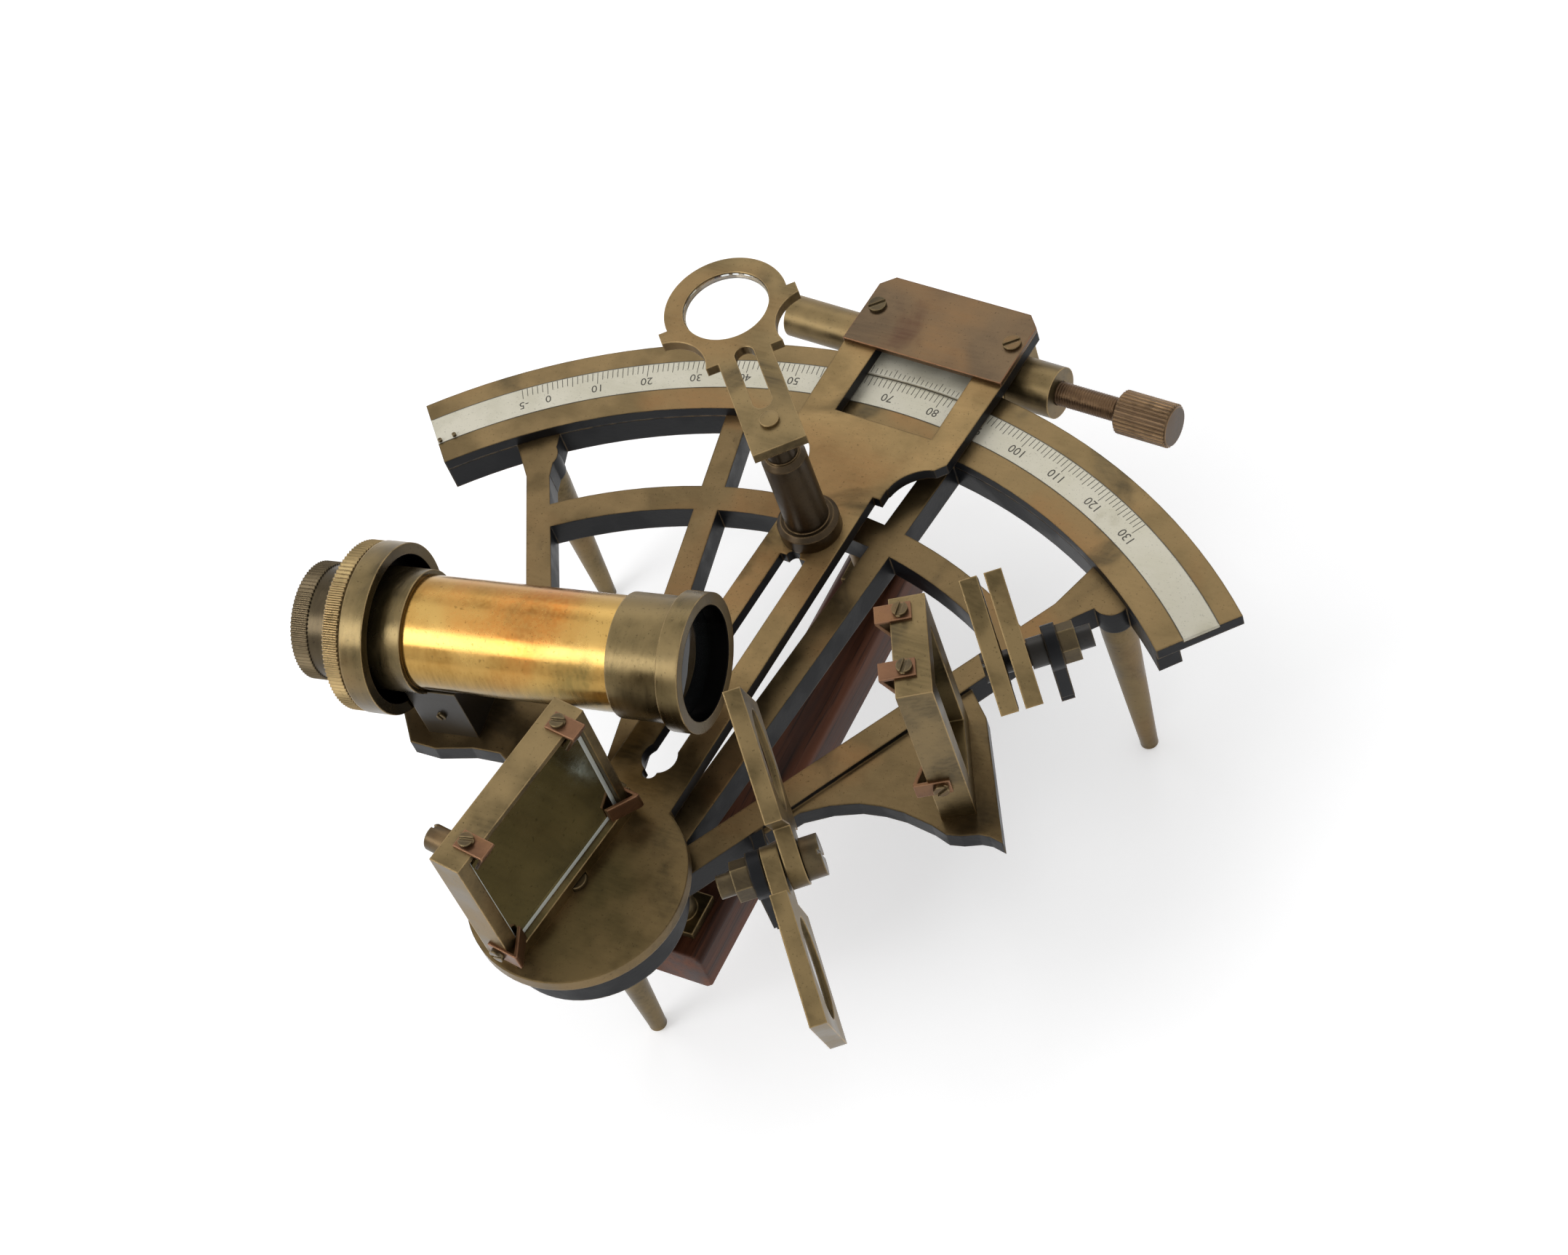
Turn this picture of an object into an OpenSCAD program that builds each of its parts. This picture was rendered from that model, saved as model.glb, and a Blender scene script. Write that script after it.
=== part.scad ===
// Brass hand sextant on three legs, with telescope, two mirrors, four shades and a reading magnifier.
// The pivot axis of the index arm is the Z axis and the ground is z = 0. Angles are measured from +X.

/* [Stance] */
// Height of the limb's top face above the ground
limb_h = 71; // [66:1:90]
// Diameter of a leg where it meets the frame
leg_top_d = 9.5; // [8:0.5:12]
// Diameter of a leg's rounded foot
leg_foot_d = 5; // [4:0.5:6]

/* [Limb] */
// Outer radius of the limb
limb_r = 180; // [150:1:216]
// Radial width of the limb
limb_w = 23.6; // [22:0.2:26]
// Thickness of the limb plate
limb_t = 3.5; // [2.5:0.5:5]
// Angle of the limb's left end
limb_left_az = 134.2; // [130:0.1:138]
// Angle of the limb's right end
limb_right_az = 44.6; // [40:0.1:48]
// Plain band outside the silvered scale
scale_inset = 6.3; // [5:0.1:7]
// Radial width of the silvered scale
scale_w = 9.8; // [8:0.1:11]
// Thickness of the silvered scale
scale_t = 0.8; // [0.5:0.1:1.5]

/* [Frame casting] */
// Thickness of the lattice casting
casting_t = 8; // [6:0.5:12]
// Radius of the hub under the index arm's disc
hub_r = 25; // [24:0.5:30]
// Radius of the turned boss
boss_r = 20; // [16:0.5:23]
// Inner radius of the middle ring
ring_r = 123.5; // [110:0.5:128]
// Radial width of the middle ring
ring_w = 8; // [6:0.5:10]
// Radial width of the rib under the limb
rib_w = 6.5; // [5:0.5:9]
// Width of a spoke
spoke_w = 6.6; // [5:0.2:9]
// Thickness of the two side wings
wing_t = 5; // [3:0.5:7]

/* [Index arm] */
// Angle at which the index arm rests
arm_az = 85.5; // [80:0.5:95]
// Radius of the arm's disc
disc_r = 29; // [28:0.5:32]
// Thickness of the arm plate
arm_t = 3.5; // [2.5:0.5:5]
// Width of the arm's bar
arm_w = 20.8; // [18:0.2:21]
// Width of the slot along the bar
slot_w = 7.8; // [5:0.2:9]
// Width of the arm's fish-tail end
tail_w = 50.6; // [46:0.2:54]
// Running height of the arm over the limb
arm_gap = 1; // [0.8:0.1:2]
// Diameter of the pivot screw's shank
pivot_d = 4; // [3:0.5:6]

/* [Mirrors] */
// Thickness of both mirror blocks
mirror_block_t = 9; // [8:0.5:11]
// Height of the index mirror block
index_mirror_h = 45.5; // [38:0.5:50]
// Length of the index mirror block
index_mirror_l = 51; // [44:0.5:52]
// Height of the horizon mirror block
horizon_mirror_h = 54; // [44:0.5:56]
// Length of the horizon mirror block
horizon_mirror_l = 29.4; // [26:0.2:32]
// Thickness of the mirror glass
glass_t = 3; // [2:0.5:3.5]

/* [Telescope] */
// Outer radius of the polished tube
tube_r = 15; // [13:0.5:16.5]
// Length of the polished tube that shows
tube_l = 58; // [50:1:70]
// Outer radius of the holding ring
holding_ring_r = 22.7; // [21:0.1:24]
// Wall of the tubes
tube_wall = 1.2; // [0.8:0.1:2]
// Height of the telescope's axis above the limb
telescope_h = 27; // [26:0.5:34]
// How far the eyepiece draws out
eyepiece_travel = 12; // [6:1:14]

/* [Shades] */
// Width of an index shade frame across its swing
index_shade_w = 36.5; // [32:0.5:40]
// Width of a horizon shade frame across its swing
horizon_shade_w = 33.6; // [32:0.2:40]
// Length of a shade frame from the bolt outwards
shade_l = 33.2; // [30:0.2:36]
// Thickness of a shade frame
shade_t = 4.4; // [3:0.2:5]
// Diameter of a shade's round glass
shade_glass_d = 26; // [20:0.5:28]
// Diameter of a shade bolt
shade_bolt_d = 6; // [5:0.5:8]

/* [Magnifier] */
// Height of the magnifier's plate above the limb
magnifier_h = 47; // [44:0.5:56]
// Thickness of the magnifier's plate
magnifier_t = 3; // [2:0.5:4]
// Distance from the pillar to the middle of the lens
magnifier_reach = 44; // [40:0.5:50]
// Outer radius of the lens ring
magnifier_ring_r = 16.9; // [15:0.1:19]
// Radius of the lens
magnifier_lens_r = 11.8; // [10:0.1:13]
// Angle of the magnifier from the arm's right-hand side
magnifier_turn = 137.2; // [90:1:170]

/* [Tangent screw and handle] */
// Diameter of the threaded tangent screw
tangent_d = 6.8; // [5:0.2:8]
// Length of the knurled knob
knob_l = 16.4; // [13:0.2:22]
// Diameter of the knurled knob
knob_d = 12.3; // [10:0.1:15]
// Diameter of the spring barrel
barrel_d = 12; // [10:0.5:13]
// Length of the spring barrel outside its housing
barrel_l = 29.5; // [20:0.5:36]
// Length of the wooden handle
handle_l = 132; // [128:1:140]
// Width of the wooden handle
handle_w = 20; // [16:0.5:24]
// Depth of the wooden handle
handle_d = 15.5; // [12:0.5:24]

/* [Fits] */
// Radial clearance of a piece that turns on a pin
running_fit = 0.05; // [0.02:0.01:0.1]
// Clearance between faces that pass each other
side_gap = 0.25; // [0.15:0.05:0.4]

/* [Hidden] */
$fn = 64;
eps = 0.01;

// Colours
brass = "#8a7443";
bright_brass = "#d6a536";
black_paint = "#23252a";
silvered = "#c9c7bb";
copper = "#94614a";
copper_brown = "#6e5440";
mahogany = "#6b3524";
dark_glass = "#15181a";
clear_glass = "#c4d2d4";

// Levels
casting_top = limb_h - limb_t;
casting_floor = casting_top - casting_t;
wing_floor = casting_top - wing_t;
wing_drop = 1.5;
arm_floor = limb_h + arm_gap;
arm_top = arm_floor + arm_t;
axis_h = limb_h + telescope_h;

// Limb
limb_in_r = limb_r - limb_w;
scale_out_r = limb_r - scale_inset;
scale_in_r = scale_out_r - scale_w;
scale_over_deg = 0.3;
stop_pin_d = 1.2;
stop_pin_h = 0.9;
stop_pin_r = scale_in_r + 0.8;
stop_pin_azs = [limb_left_az - 0.3, limb_left_az - 1.8];

// Spokes: where each one's middle line meets the rib and the hub
rib_mid_r = limb_in_r + rib_w / 2;
rib_end_deg = 0.8;
spoke_ends = [[124.2, 153], [102.6, 110], [78.9, 54], [55.3, 37]];
spoke_root_r = hub_r - 3;
pad_w = 13;
pad_l = 15;

// Legs, by radius and angle
leg_seats = [[limb_r - 29.8, 124.1], [limb_r - 25.5, 53.2], [0, 0]];
leg_spigot_d = 5;
leg_spigot_l = 5;
leg_boss_r = leg_top_d / 2 + 0.2;

// Pivot screw
pivot_head_r = 2.9;
pivot_head_t = 1;
pivot_bottom = casting_floor + leg_spigot_l + 1;
slot_cut_w = 1;
slot_cut_d = 0.7;

// Index arm, along its own +Y
flare_y = limb_r - 47;
flare_lug_w = 2.4;
flare_lug_l = 3.5;
tail_y = limb_r - 30.5;
window_y = limb_r - 24;
window_end_y = limb_r + 0.8;
window_w = 31;
window_x = 0.5;
cover_y = limb_r - 1.5;
arm_end_y = limb_r + 23;
corner_clip = 3.6;
cover_t = 1.5;
cover_top = arm_top + cover_t;
slot_from_y = 40;
slot_to_y = limb_r - 72;
slot_eye_r = 4.85;
slot_cusp_r = 2;
vernier_t = 0.7;
vernier_gap = arm_gap - vernier_t;
vernier_lap = 2.5;

// Housing of the tangent screw, outside the limb
housing_y = limb_r + 2;
housing_end_y = arm_end_y - 2;
housing_w = 44;
housing_floor = limb_h - 14;
tangent_y = limb_r + 9.5;
tangent_collar_r = 7.3;
tangent_z = arm_floor - tangent_collar_r - side_gap;
tangent_collar_l = 13.6;
tangent_free_l = 19;
tangent_grip_l = 20;
tongue_w = 16;
tongue_l = 14;
tongue_t = 5;
tongue_floor = limb_h - 13.5;
clamp_y = limb_r - 4;
clamp_d = 5;
clamp_head_d = 13;
clamp_head_l = 8;
clamp_tip_gap = 0.6;
cover_screw_x = 21.7;
cover_screw_y = limb_r + 12;
cover_screw_r = 2.6;

// Index mirror, on the disc: Y runs along the block, X out of its face
index_mirror_az = -3.5;
index_mirror_x = -7.6;
index_mirror_y = -27;
near_post = 4;
far_post = 2.6;
mirror_top_bar = 1.6;
mirror_sill_h = 4;
mirror_back_t = 4.1;
index_recess = mirror_block_t - mirror_back_t - glass_t;
clip_w = 5;
clip_t = 0.8;
clip_drop = 7;
clip_back = 5.5;
clip_out = 3.6;
clip_leg_t = 1;
clip_toe_gap = 0.1;
clip_screw_x = 2.9;
small_screw_r = 2;
small_screw_h = 1.2;
adjuster_r = 3.4;
adjuster_l = 6.5;
adjuster_y = 7;
adjuster_drop = 5;
index_clip_y = [7.8, 45];
index_end_clip_z = 6.5;
pivot_notch_h = side_gap + pivot_head_t + 0.5;

// Horizon mirror, on the right wing
horizon_mirror_pos = [79.5, 50.3];
horizon_mirror_az = 29;
horizon_mirror_x = -2;
horizon_mirror_y = 0.8;
horizon_post = 2;
horizon_sill_h = 4;
horizon_recess = 0.8;
horizon_lip = 4;
horizon_top_bar = 5;
horizon_clip_y = [7.8, 24.7];
horizon_end_clip_z = 15;

// Telescope, along its own +Z from the eye end; stations are from its reference point
telescope_pos = [-60, 45];
telescope_az = 9.45;
ring_from = -22;
ring_to = -10.1;
ring_knurl_l = 4.6;
ring_knurl_r = holding_ring_r - 0.9;
ring_groove_l = 0.8;
ring_recess_r = holding_ring_r - 3;
ring_recess_d = 6.5;
sleeve_r = tube_r + 1.3;
sleeve_to = -2.8;
tube_from = ring_from + 4;
tube_to = sleeve_to + tube_l;
cell_l = 14.6;
cell_r = tube_r + 1.2;
cap_l = 5.9;
cap_r = tube_r + 3;
cap_hole_r = cap_r - 3.2;
cap_recess = 4;
lens_t = 3;
eye_cap_l = 13;
eye_cap_r = 15.1;
eye_tube_r = tube_r - tube_wall - running_fit;
eye_grip_l = 14;
eye_tube_l = eyepiece_travel + eye_grip_l;
eye_hole_r = 9;
eye_lens_t = 3;
eye_lens_r = 10.5;
eye_lens_from = ring_from - side_gap - eye_cap_l + 2.5;
saddle_from = -9.6;
saddle_to = 5.4;
saddle_w = 24;
saddle_top = axis_h - 10.5;
bracket_screw_r = 1.3;
bracket_screw_h = 0.9;
bracket_screw_up = 9.5;

// Shades: seat of each bolt, its angle, and how far each shade is swung
shade_bolt_r = shade_bolt_d / 2;
shade_eye_r = 6.2;
shade_root = 8.6;
index_shade_offset = 5.3;
horizon_shade_offset = 4.9;
shade_lip = 0.9;
lug_t = 3.6;
lug_r = 6;
lug_near = 4;
lug_lift = 7;
lug_foot_drop = 0.4;
index_bolt_pos = [51, 13.6, limb_h + 14];
index_bolt_az = 39.4;
index_swings = [29.6, 201.2];
horizon_bolt_pos = [85.8, 92.5, limb_h + 12];
horizon_bolt_az = 38;
horizon_swing = 127;
spacer_l = 1.2;
collar_l = 4.4;
collar_r = 4;
shade_head_l = 4.6;
horizon_head_l = 1;
horizon_head_r = 3.9;
shade_head_r = 5.4;
shade_nut_l = 4.5;
shade_nut_r = 5.2;
bolt_end_l = 4;

// Where each shade starts along its bolt
index_shade_s = [side_gap + shade_t + side_gap, 0];
horizon_shade_s = [-shade_t - spacer_l - 2 * side_gap - shade_t, -shade_t];
index_head_s = index_shade_s[0] + shade_t + side_gap;
horizon_head_s = horizon_shade_s[0] - side_gap;
index_lug_s = -side_gap - lug_t;
horizon_lug_s = side_gap + collar_l;
index_lug_foot = 27;
horizon_lug_foot = 20;

// Magnifier
pillar_y = limb_r - 62;
pillar_base_r = 8.5;
pillar_base_h = 5.5;
pillar_post_r = 6;
pillar_post_top = limb_h + 37;
pillar_neck_r = 4.2;
magnifier_floor = limb_h + magnifier_h;
magnifier_bore_r = 1.8;
magnifier_arm_w = 14.6;
magnifier_heel = 9.2;
magnifier_slot_w = 5.2;
magnifier_slot_from = 7.5;
magnifier_head_r = 2.8;
magnifier_head_t = 1.2;
lens_lip = 0.8;
lens_lip_w = 0.4;
lens_sink = 0.1;

// Handle under the frame
handle_leg_gap = 1.25;
handle_x = leg_top_d / 2 + handle_leg_gap + handle_w / 2;
handle_y = 2;
handle_drop = 24;
handle_top = limb_h - handle_drop;
handle_chamfer = 2;
ring_mid_r = ring_r + ring_w / 2;
bracket_ys = [13, sqrt(ring_mid_r * ring_mid_r - handle_x * handle_x)];
bracket_post_r = 4;
bracket_foot_w = 12;
bracket_foot_t = 2.4;
handle_screw_r = 3.5;

// Helpers

// A band between two radii, between two angles
module arc_band(r_in, r_out, from_az, to_az, height) {
    rotate([0, 0, from_az])
        rotate_extrude(angle = to_az - from_az, $fn = 180)
            translate([r_in, 0])
                square([r_out - r_in, height]);
}

// A point at a radius and an angle
function polar(r, az) = [r * cos(az), r * sin(az)];

// A bar's outline from one point to another, with its own width at each end
module bar_outline(from, to, from_w, to_w) {
    run = to - from;
    side = [-run[1], run[0]] / norm(run);
    polygon([
        from + side * from_w / 2,
        to + side * to_w / 2,
        to - side * to_w / 2,
        from - side * from_w / 2
    ]);
}

// A cheese-head screw with its slot, its seat at z = 0
module screw_head(r, h, turn = 25) {
    difference() {
        cylinder(r = r, h = h);
        translate([0, 0, h - slot_cut_d])
            rotate([0, 0, turn])
                translate([-r - eps, -slot_cut_w / 2, 0])
                    cube([2 * r + 2 * eps, slot_cut_w, slot_cut_d + eps]);
    }
}

// Frames of reference

module on_arm() {
    rotate([0, 0, arm_az - 90])
        children();
}

module on_telescope() {
    translate([telescope_pos[0], telescope_pos[1], axis_h])
        rotate([0, 0, telescope_az])
            rotate([0, 90, 0])
                children();
}

module on_index_mirror() {
    on_arm()
        rotate([0, 0, index_mirror_az])
            translate([index_mirror_x, index_mirror_y, arm_top])
                children();
}

module on_horizon_mirror() {
    translate([horizon_mirror_pos[0], horizon_mirror_pos[1], casting_top - wing_drop])
        rotate([0, 0, horizon_mirror_az])
            translate([horizon_mirror_x, horizon_mirror_y, 0])
                children();
}

// X along the bolt, Y out along the shade, Z across it
module on_bolt(pos, az, swing = 0) {
    translate(pos)
        rotate([0, 0, az])
            rotate([swing, 0, 0])
                children();
}

module on_magnifier() {
    on_arm()
        translate([0, pillar_y, magnifier_floor])
            rotate([0, 0, magnifier_turn])
                children();
}

// Turns a drawing so that its height runs along +X, its X along +Y and its Y along +Z
module along_x() {
    rotate([90, 0, 90])
        children();
}

// Frame casting

module spoke(ends) {
    linear_extrude(casting_t)
        bar_outline(polar(rib_mid_r, ends[0]), polar(spoke_root_r, ends[1]), spoke_w, spoke_w + 1.4);
}

// A widened seat where an outer spoke meets the rib
module spoke_pad(ends) {
    foot = polar(limb_in_r + 1, ends[0]);
    run = polar(spoke_root_r, ends[1]) - foot;
    linear_extrude(casting_t)
        bar_outline(foot, foot + run * pad_l / norm(run), pad_w, spoke_w);
}

module right_wing() {
    translate([0, 0, wing_floor - wing_drop])
        linear_extrude(wing_t)
            polygon([
                [28.5, 30], [34, 30], [41.4, 40.6], [48, 45], [55, 47.9], [61, 48.9], [67, 49],
                [75.6, 47.8], [80.3, 46.4], [84, 47.2], [88.2, 49], [91, 49.3], [95, 48.5],
                [75.5, 81.5], [68.5, 88], [64.5, 88]
            ]);
}

module left_wing() {
    translate([0, 0, wing_floor])
        linear_extrude(wing_t)
            polygon([
                [-30, 24], [-44.5, 31.5], [-53, 30.6], [-63, 27.3], [-70.9, 27.1],
                [-77.7, 34.8], [-79, 45], [-75, 58], [-61, 79]
            ]);
}

// An upright ear for a shade bolt, with a foot that runs back to the casting
module bolt_lug(pos, az, start, foot_l) {
    rise = pos[2] - casting_floor;
    on_bolt(pos, az)
        translate([start, 0, 0])
            along_x()
                linear_extrude(lug_t)
                    union() {
                        circle(r = lug_r);
                        translate([-lug_near, lug_lift - rise])
                            square([lug_near + lug_r, rise - lug_lift]);
                        translate([0, -rise])
                            square([foot_l, casting_t - lug_foot_drop]);
                    }
}

module frame() {
    color(black_paint)
        difference() {
            union() {
                translate([0, 0, casting_floor]) {
                    cylinder(r = hub_r, h = casting_t);
                    arc_band(ring_r, ring_r + ring_w, spoke_ends[3][0] + 0.6,
                        spoke_ends[0][0] - 0.3, casting_t);
                    arc_band(limb_in_r, limb_in_r + rib_w, limb_right_az + rib_end_deg,
                        limb_left_az, casting_t);
                    for (ends = spoke_ends)
                        spoke(ends);
                    spoke_pad(spoke_ends[0]);
                    spoke_pad(spoke_ends[3]);
                    for (seat = leg_seats)
                        translate(polar(seat[0], seat[1]))
                            cylinder(r = leg_boss_r, h = casting_t);
                }
                translate([0, 0, casting_top - eps])
                    cylinder(r = boss_r, h = arm_floor - side_gap - casting_top + eps);
                right_wing();
                left_wing();
                bolt_lug(index_bolt_pos, index_bolt_az, index_lug_s, index_lug_foot);
                bolt_lug(horizon_bolt_pos, horizon_bolt_az, horizon_lug_s, horizon_lug_foot);
            }
            translate([0, 0, pivot_bottom])
                cylinder(d = pivot_d, h = limb_h);
            for (seat = leg_seats)
                translate(concat(polar(seat[0], seat[1]), casting_floor - eps))
                    cylinder(d = leg_spigot_d, h = leg_spigot_l + eps);
            for (bolt = [[index_bolt_pos, index_bolt_az], [horizon_bolt_pos, horizon_bolt_az]])
                on_bolt(bolt[0], bolt[1])
                    translate([-15, 0, 0])
                        rotate([0, 90, 0])
                            cylinder(d = shade_bolt_d, h = 30);
        }
}

// Limb and scale

module limb() {
    color(brass)
        translate([0, 0, casting_top])
            difference() {
                arc_band(limb_in_r, limb_r, limb_right_az, limb_left_az, limb_t);
                translate([0, 0, limb_t - scale_t])
                    arc_band(scale_in_r, scale_out_r, limb_right_az - scale_over_deg,
                        limb_left_az + scale_over_deg, scale_t + eps);
            }
}

module scale_strip() {
    color(silvered)
        translate([0, 0, limb_h - scale_t])
            arc_band(scale_in_r, scale_out_r, limb_right_az, limb_left_az, scale_t);
}

module stop_pins() {
    color(brass)
        for (az = stop_pin_azs)
            translate(concat(polar(stop_pin_r, az), limb_h))
                cylinder(d = stop_pin_d, h = stop_pin_h, $fn = 24);
}

// Legs

module leg(seat) {
    color(brass)
        translate(polar(seat[0], seat[1]))
            rotate_extrude($fn = 48)
                polygon([
                    [0, 0], [leg_foot_d / 2 - 1, 0], [leg_foot_d / 2, 1], [leg_foot_d / 2, 2.5],
                    [leg_top_d / 2, casting_floor - 5], [leg_top_d / 2, casting_floor],
                    [leg_spigot_d / 2, casting_floor], [leg_spigot_d / 2, casting_floor + leg_spigot_l],
                    [0, casting_floor + leg_spigot_l]
                ]);
}

module leg_left() {
    leg(leg_seats[0]);
}

module leg_right() {
    leg(leg_seats[1]);
}

module leg_pivot() {
    leg(leg_seats[2]);
}

// Handle

module handle() {
    side = handle_w / 2;
    face = handle_d / 2;
    flat_x = side - handle_chamfer;
    flat_z = face - handle_chamfer;
    color(mahogany)
        translate([handle_x, handle_y, handle_top - face])
            rotate([-90, 0, 0])
                linear_extrude(handle_l)
                    polygon([
                        [side, flat_z], [flat_x, face], [-flat_x, face], [-side, flat_z],
                        [-side, -flat_z], [-flat_x, -face], [flat_x, -face], [side, -flat_z]
                    ]);
}

module handle_bracket(y) {
    color(brass)
        translate([handle_x, y, handle_top]) {
            cylinder(r = bracket_post_r, h = casting_floor - handle_top);
            translate([-bracket_foot_w / 2, -bracket_foot_w / 2, 0])
                cube([bracket_foot_w, bracket_foot_w, bracket_foot_t]);
        }
}

module handle_bracket_near() {
    handle_bracket(bracket_ys[0]);
}

module handle_bracket_far() {
    handle_bracket(bracket_ys[1]);
}

module handle_screws() {
    color(brass)
        for (y = bracket_ys)
            translate([handle_x, y, handle_top - handle_d])
                mirror([0, 0, 1])
                    screw_head(handle_screw_r, small_screw_h);
}

// Telescope

module telescope_bracket() {
    color(black_paint)
        difference() {
            on_telescope()
                translate([axis_h - saddle_top, -saddle_w / 2, saddle_from])
                    cube([saddle_top - casting_top, saddle_w, saddle_to - saddle_from]);
            on_telescope()
                translate([0, 0, saddle_from - 1])
                    cylinder(r = sleeve_r, h = sleeve_to - saddle_from + 1);
            on_telescope()
                translate([0, 0, sleeve_to - eps])
                    cylinder(r = tube_r, h = saddle_to - sleeve_to + 1);
        }
}

module bracket_screw() {
    color(brass)
        on_telescope()
            translate([axis_h - casting_top - bracket_screw_up, -saddle_w / 2,
                (saddle_from + saddle_to) / 2])
                rotate([90, 0, 0])
                    screw_head(bracket_screw_r, bracket_screw_h);
}

module telescope_ring() {
    color(brass)
        on_telescope()
            difference() {
                union() {
                    translate([0, 0, ring_from])
                        cylinder(r = ring_knurl_r, h = ring_knurl_l);
                    translate([0, 0, ring_from + ring_knurl_l])
                        cylinder(r = ring_knurl_r - 0.6, h = ring_groove_l);
                    translate([0, 0, ring_from + ring_knurl_l + ring_groove_l])
                        cylinder(r = holding_ring_r, h = ring_to - ring_from - ring_knurl_l - ring_groove_l);
                    translate([0, 0, ring_from])
                        cylinder(r = sleeve_r, h = sleeve_to - ring_from);
                }
                translate([0, 0, ring_to - ring_recess_d])
                    difference() {
                        cylinder(r = ring_recess_r, h = ring_recess_d + eps);
                        translate([0, 0, -eps])
                            cylinder(r = sleeve_r, h = ring_recess_d + 3 * eps);
                    }
                translate([0, 0, tube_from])
                    cylinder(r = tube_r, h = tube_l);
                translate([0, 0, ring_from - eps])
                    cylinder(r = eye_tube_r + running_fit, h = 10);
            }
}

module telescope_tube() {
    color(bright_brass)
        on_telescope()
            translate([0, 0, tube_from])
                difference() {
                    cylinder(r = tube_r, h = tube_to + cell_l - 3 - tube_from);
                    translate([0, 0, -eps])
                        cylinder(r = tube_r - tube_wall, h = tube_to + cell_l - tube_from);
                }
}

module objective_cell() {
    color(brass)
        on_telescope()
            translate([0, 0, tube_to])
                difference() {
                    union() {
                        cylinder(r = cell_r, h = cell_l);
                        translate([0, 0, cell_l])
                            cylinder(r = cap_r, h = cap_l);
                    }
                    translate([0, 0, -eps])
                        cylinder(r = tube_r, h = cell_l - 3 + eps);
                    translate([0, 0, -eps])
                        cylinder(r = cap_hole_r - 2, h = cell_l + cap_l + 2 * eps);
                    translate([0, 0, cell_l + cap_l - cap_recess - lens_t])
                        cylinder(r = cap_hole_r, h = cap_recess + lens_t + eps);
                }
}

module objective_lens() {
    color(dark_glass)
        on_telescope()
            translate([0, 0, tube_to + cell_l + cap_l - cap_recess - lens_t])
                cylinder(r = cap_hole_r, h = lens_t);
}

module eyepiece() {
    color(brass)
        on_telescope()
            difference() {
                union() {
                    translate([0, 0, ring_from - side_gap - eye_cap_l])
                        cylinder(r = eye_cap_r, h = eye_cap_l);
                    translate([0, 0, ring_from - side_gap - eps])
                        cylinder(r = eye_tube_r, h = eye_tube_l);
                }
                translate([0, 0, ring_from - side_gap - eye_cap_l - eps])
                    cylinder(r = eye_hole_r, h = eye_cap_l + eye_tube_l);
                translate([0, 0, eye_lens_from])
                    cylinder(r = eye_lens_r, h = eye_lens_t);
                translate([0, 0, eye_lens_from + eye_lens_t + tube_wall])
                    cylinder(r = eye_tube_r - tube_wall, h = eye_cap_l + eye_tube_l);
            }
}

module eye_lens() {
    color(dark_glass)
        on_telescope()
            translate([0, 0, eye_lens_from])
                cylinder(r = eye_lens_r, h = eye_lens_t);
}

// Horizon mirror

module horizon_mirror_block() {
    color(brass)
        on_horizon_mirror()
            difference() {
                cube([mirror_block_t, horizon_mirror_l, horizon_mirror_h]);
                translate([-eps, horizon_post, horizon_sill_h])
                    cube([horizon_recess + glass_t + eps, horizon_mirror_l - 2 * horizon_post,
                        horizon_mirror_h - horizon_sill_h - mirror_top_bar]);
                translate([-eps, horizon_post + horizon_lip, horizon_sill_h + horizon_lip])
                    cube([mirror_block_t + 2 * eps, horizon_mirror_l - 2 * horizon_post - 2 * horizon_lip,
                        horizon_mirror_h - horizon_sill_h - horizon_lip - horizon_top_bar]);
            }
}

module horizon_mirror_glass() {
    color(clear_glass)
        on_horizon_mirror()
            translate([horizon_recess, horizon_post, horizon_sill_h])
                cube([glass_t, horizon_mirror_l - 2 * horizon_post,
                    horizon_mirror_h - horizon_sill_h - mirror_top_bar]);
}

// A bent strip that lies on a face of the block, its screw over x > 0, and springs back
// past the edge at x = 0 on to glass that is set in by the recess
module clip(recess) {
    toe = recess - clip_toe_gap;
    rotate([90, 0, 0])
        translate([0, 0, -clip_w / 2])
            linear_extrude(clip_w)
                polygon([
                    [clip_back, 0], [-clip_out + clip_leg_t, 0], [toe, -clip_drop],
                    [toe - clip_leg_t, -clip_drop], [-clip_out, 0], [-clip_out, clip_t],
                    [clip_back, clip_t]
                ]);
}

module horizon_mirror_clips() {
    color(copper)
        on_horizon_mirror() {
            for (y = horizon_clip_y)
                translate([0, y, horizon_mirror_h])
                    clip(horizon_recess);
            translate([0, 0, horizon_end_clip_z])
                rotate([90, 0, 0])
                    clip(horizon_recess);
        }
}

module horizon_mirror_screws() {
    color(brass)
        on_horizon_mirror() {
            for (y = horizon_clip_y)
                translate([clip_screw_x, y, horizon_mirror_h + clip_t])
                    screw_head(small_screw_r, small_screw_h, 70);
            translate([clip_screw_x, -clip_t, horizon_end_clip_z])
                rotate([90, 0, 0])
                    screw_head(small_screw_r, small_screw_h, 40);
        }
}

// Shades

// A square frame with a round glass, and the eye that turns on the bolt
module shade_frame(width, offset) {
    mid = [shade_root + shade_l / 2, offset];
    difference() {
        along_x()
            linear_extrude(shade_t)
                difference() {
                    union() {
                        circle(r = shade_eye_r);
                        translate([0, -shade_eye_r])
                            square([shade_root + 1, 2 * shade_eye_r]);
                        translate([shade_root, offset - width / 2])
                            square([shade_l, width]);
                    }
                    circle(r = shade_bolt_r + running_fit);
                    translate(mid)
                        circle(d = shade_glass_d - 2 * shade_lip);
                }
        translate([shade_lip, mid[0], mid[1]])
            rotate([0, 90, 0])
                cylinder(d = shade_glass_d, h = shade_t);
    }
}

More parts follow.
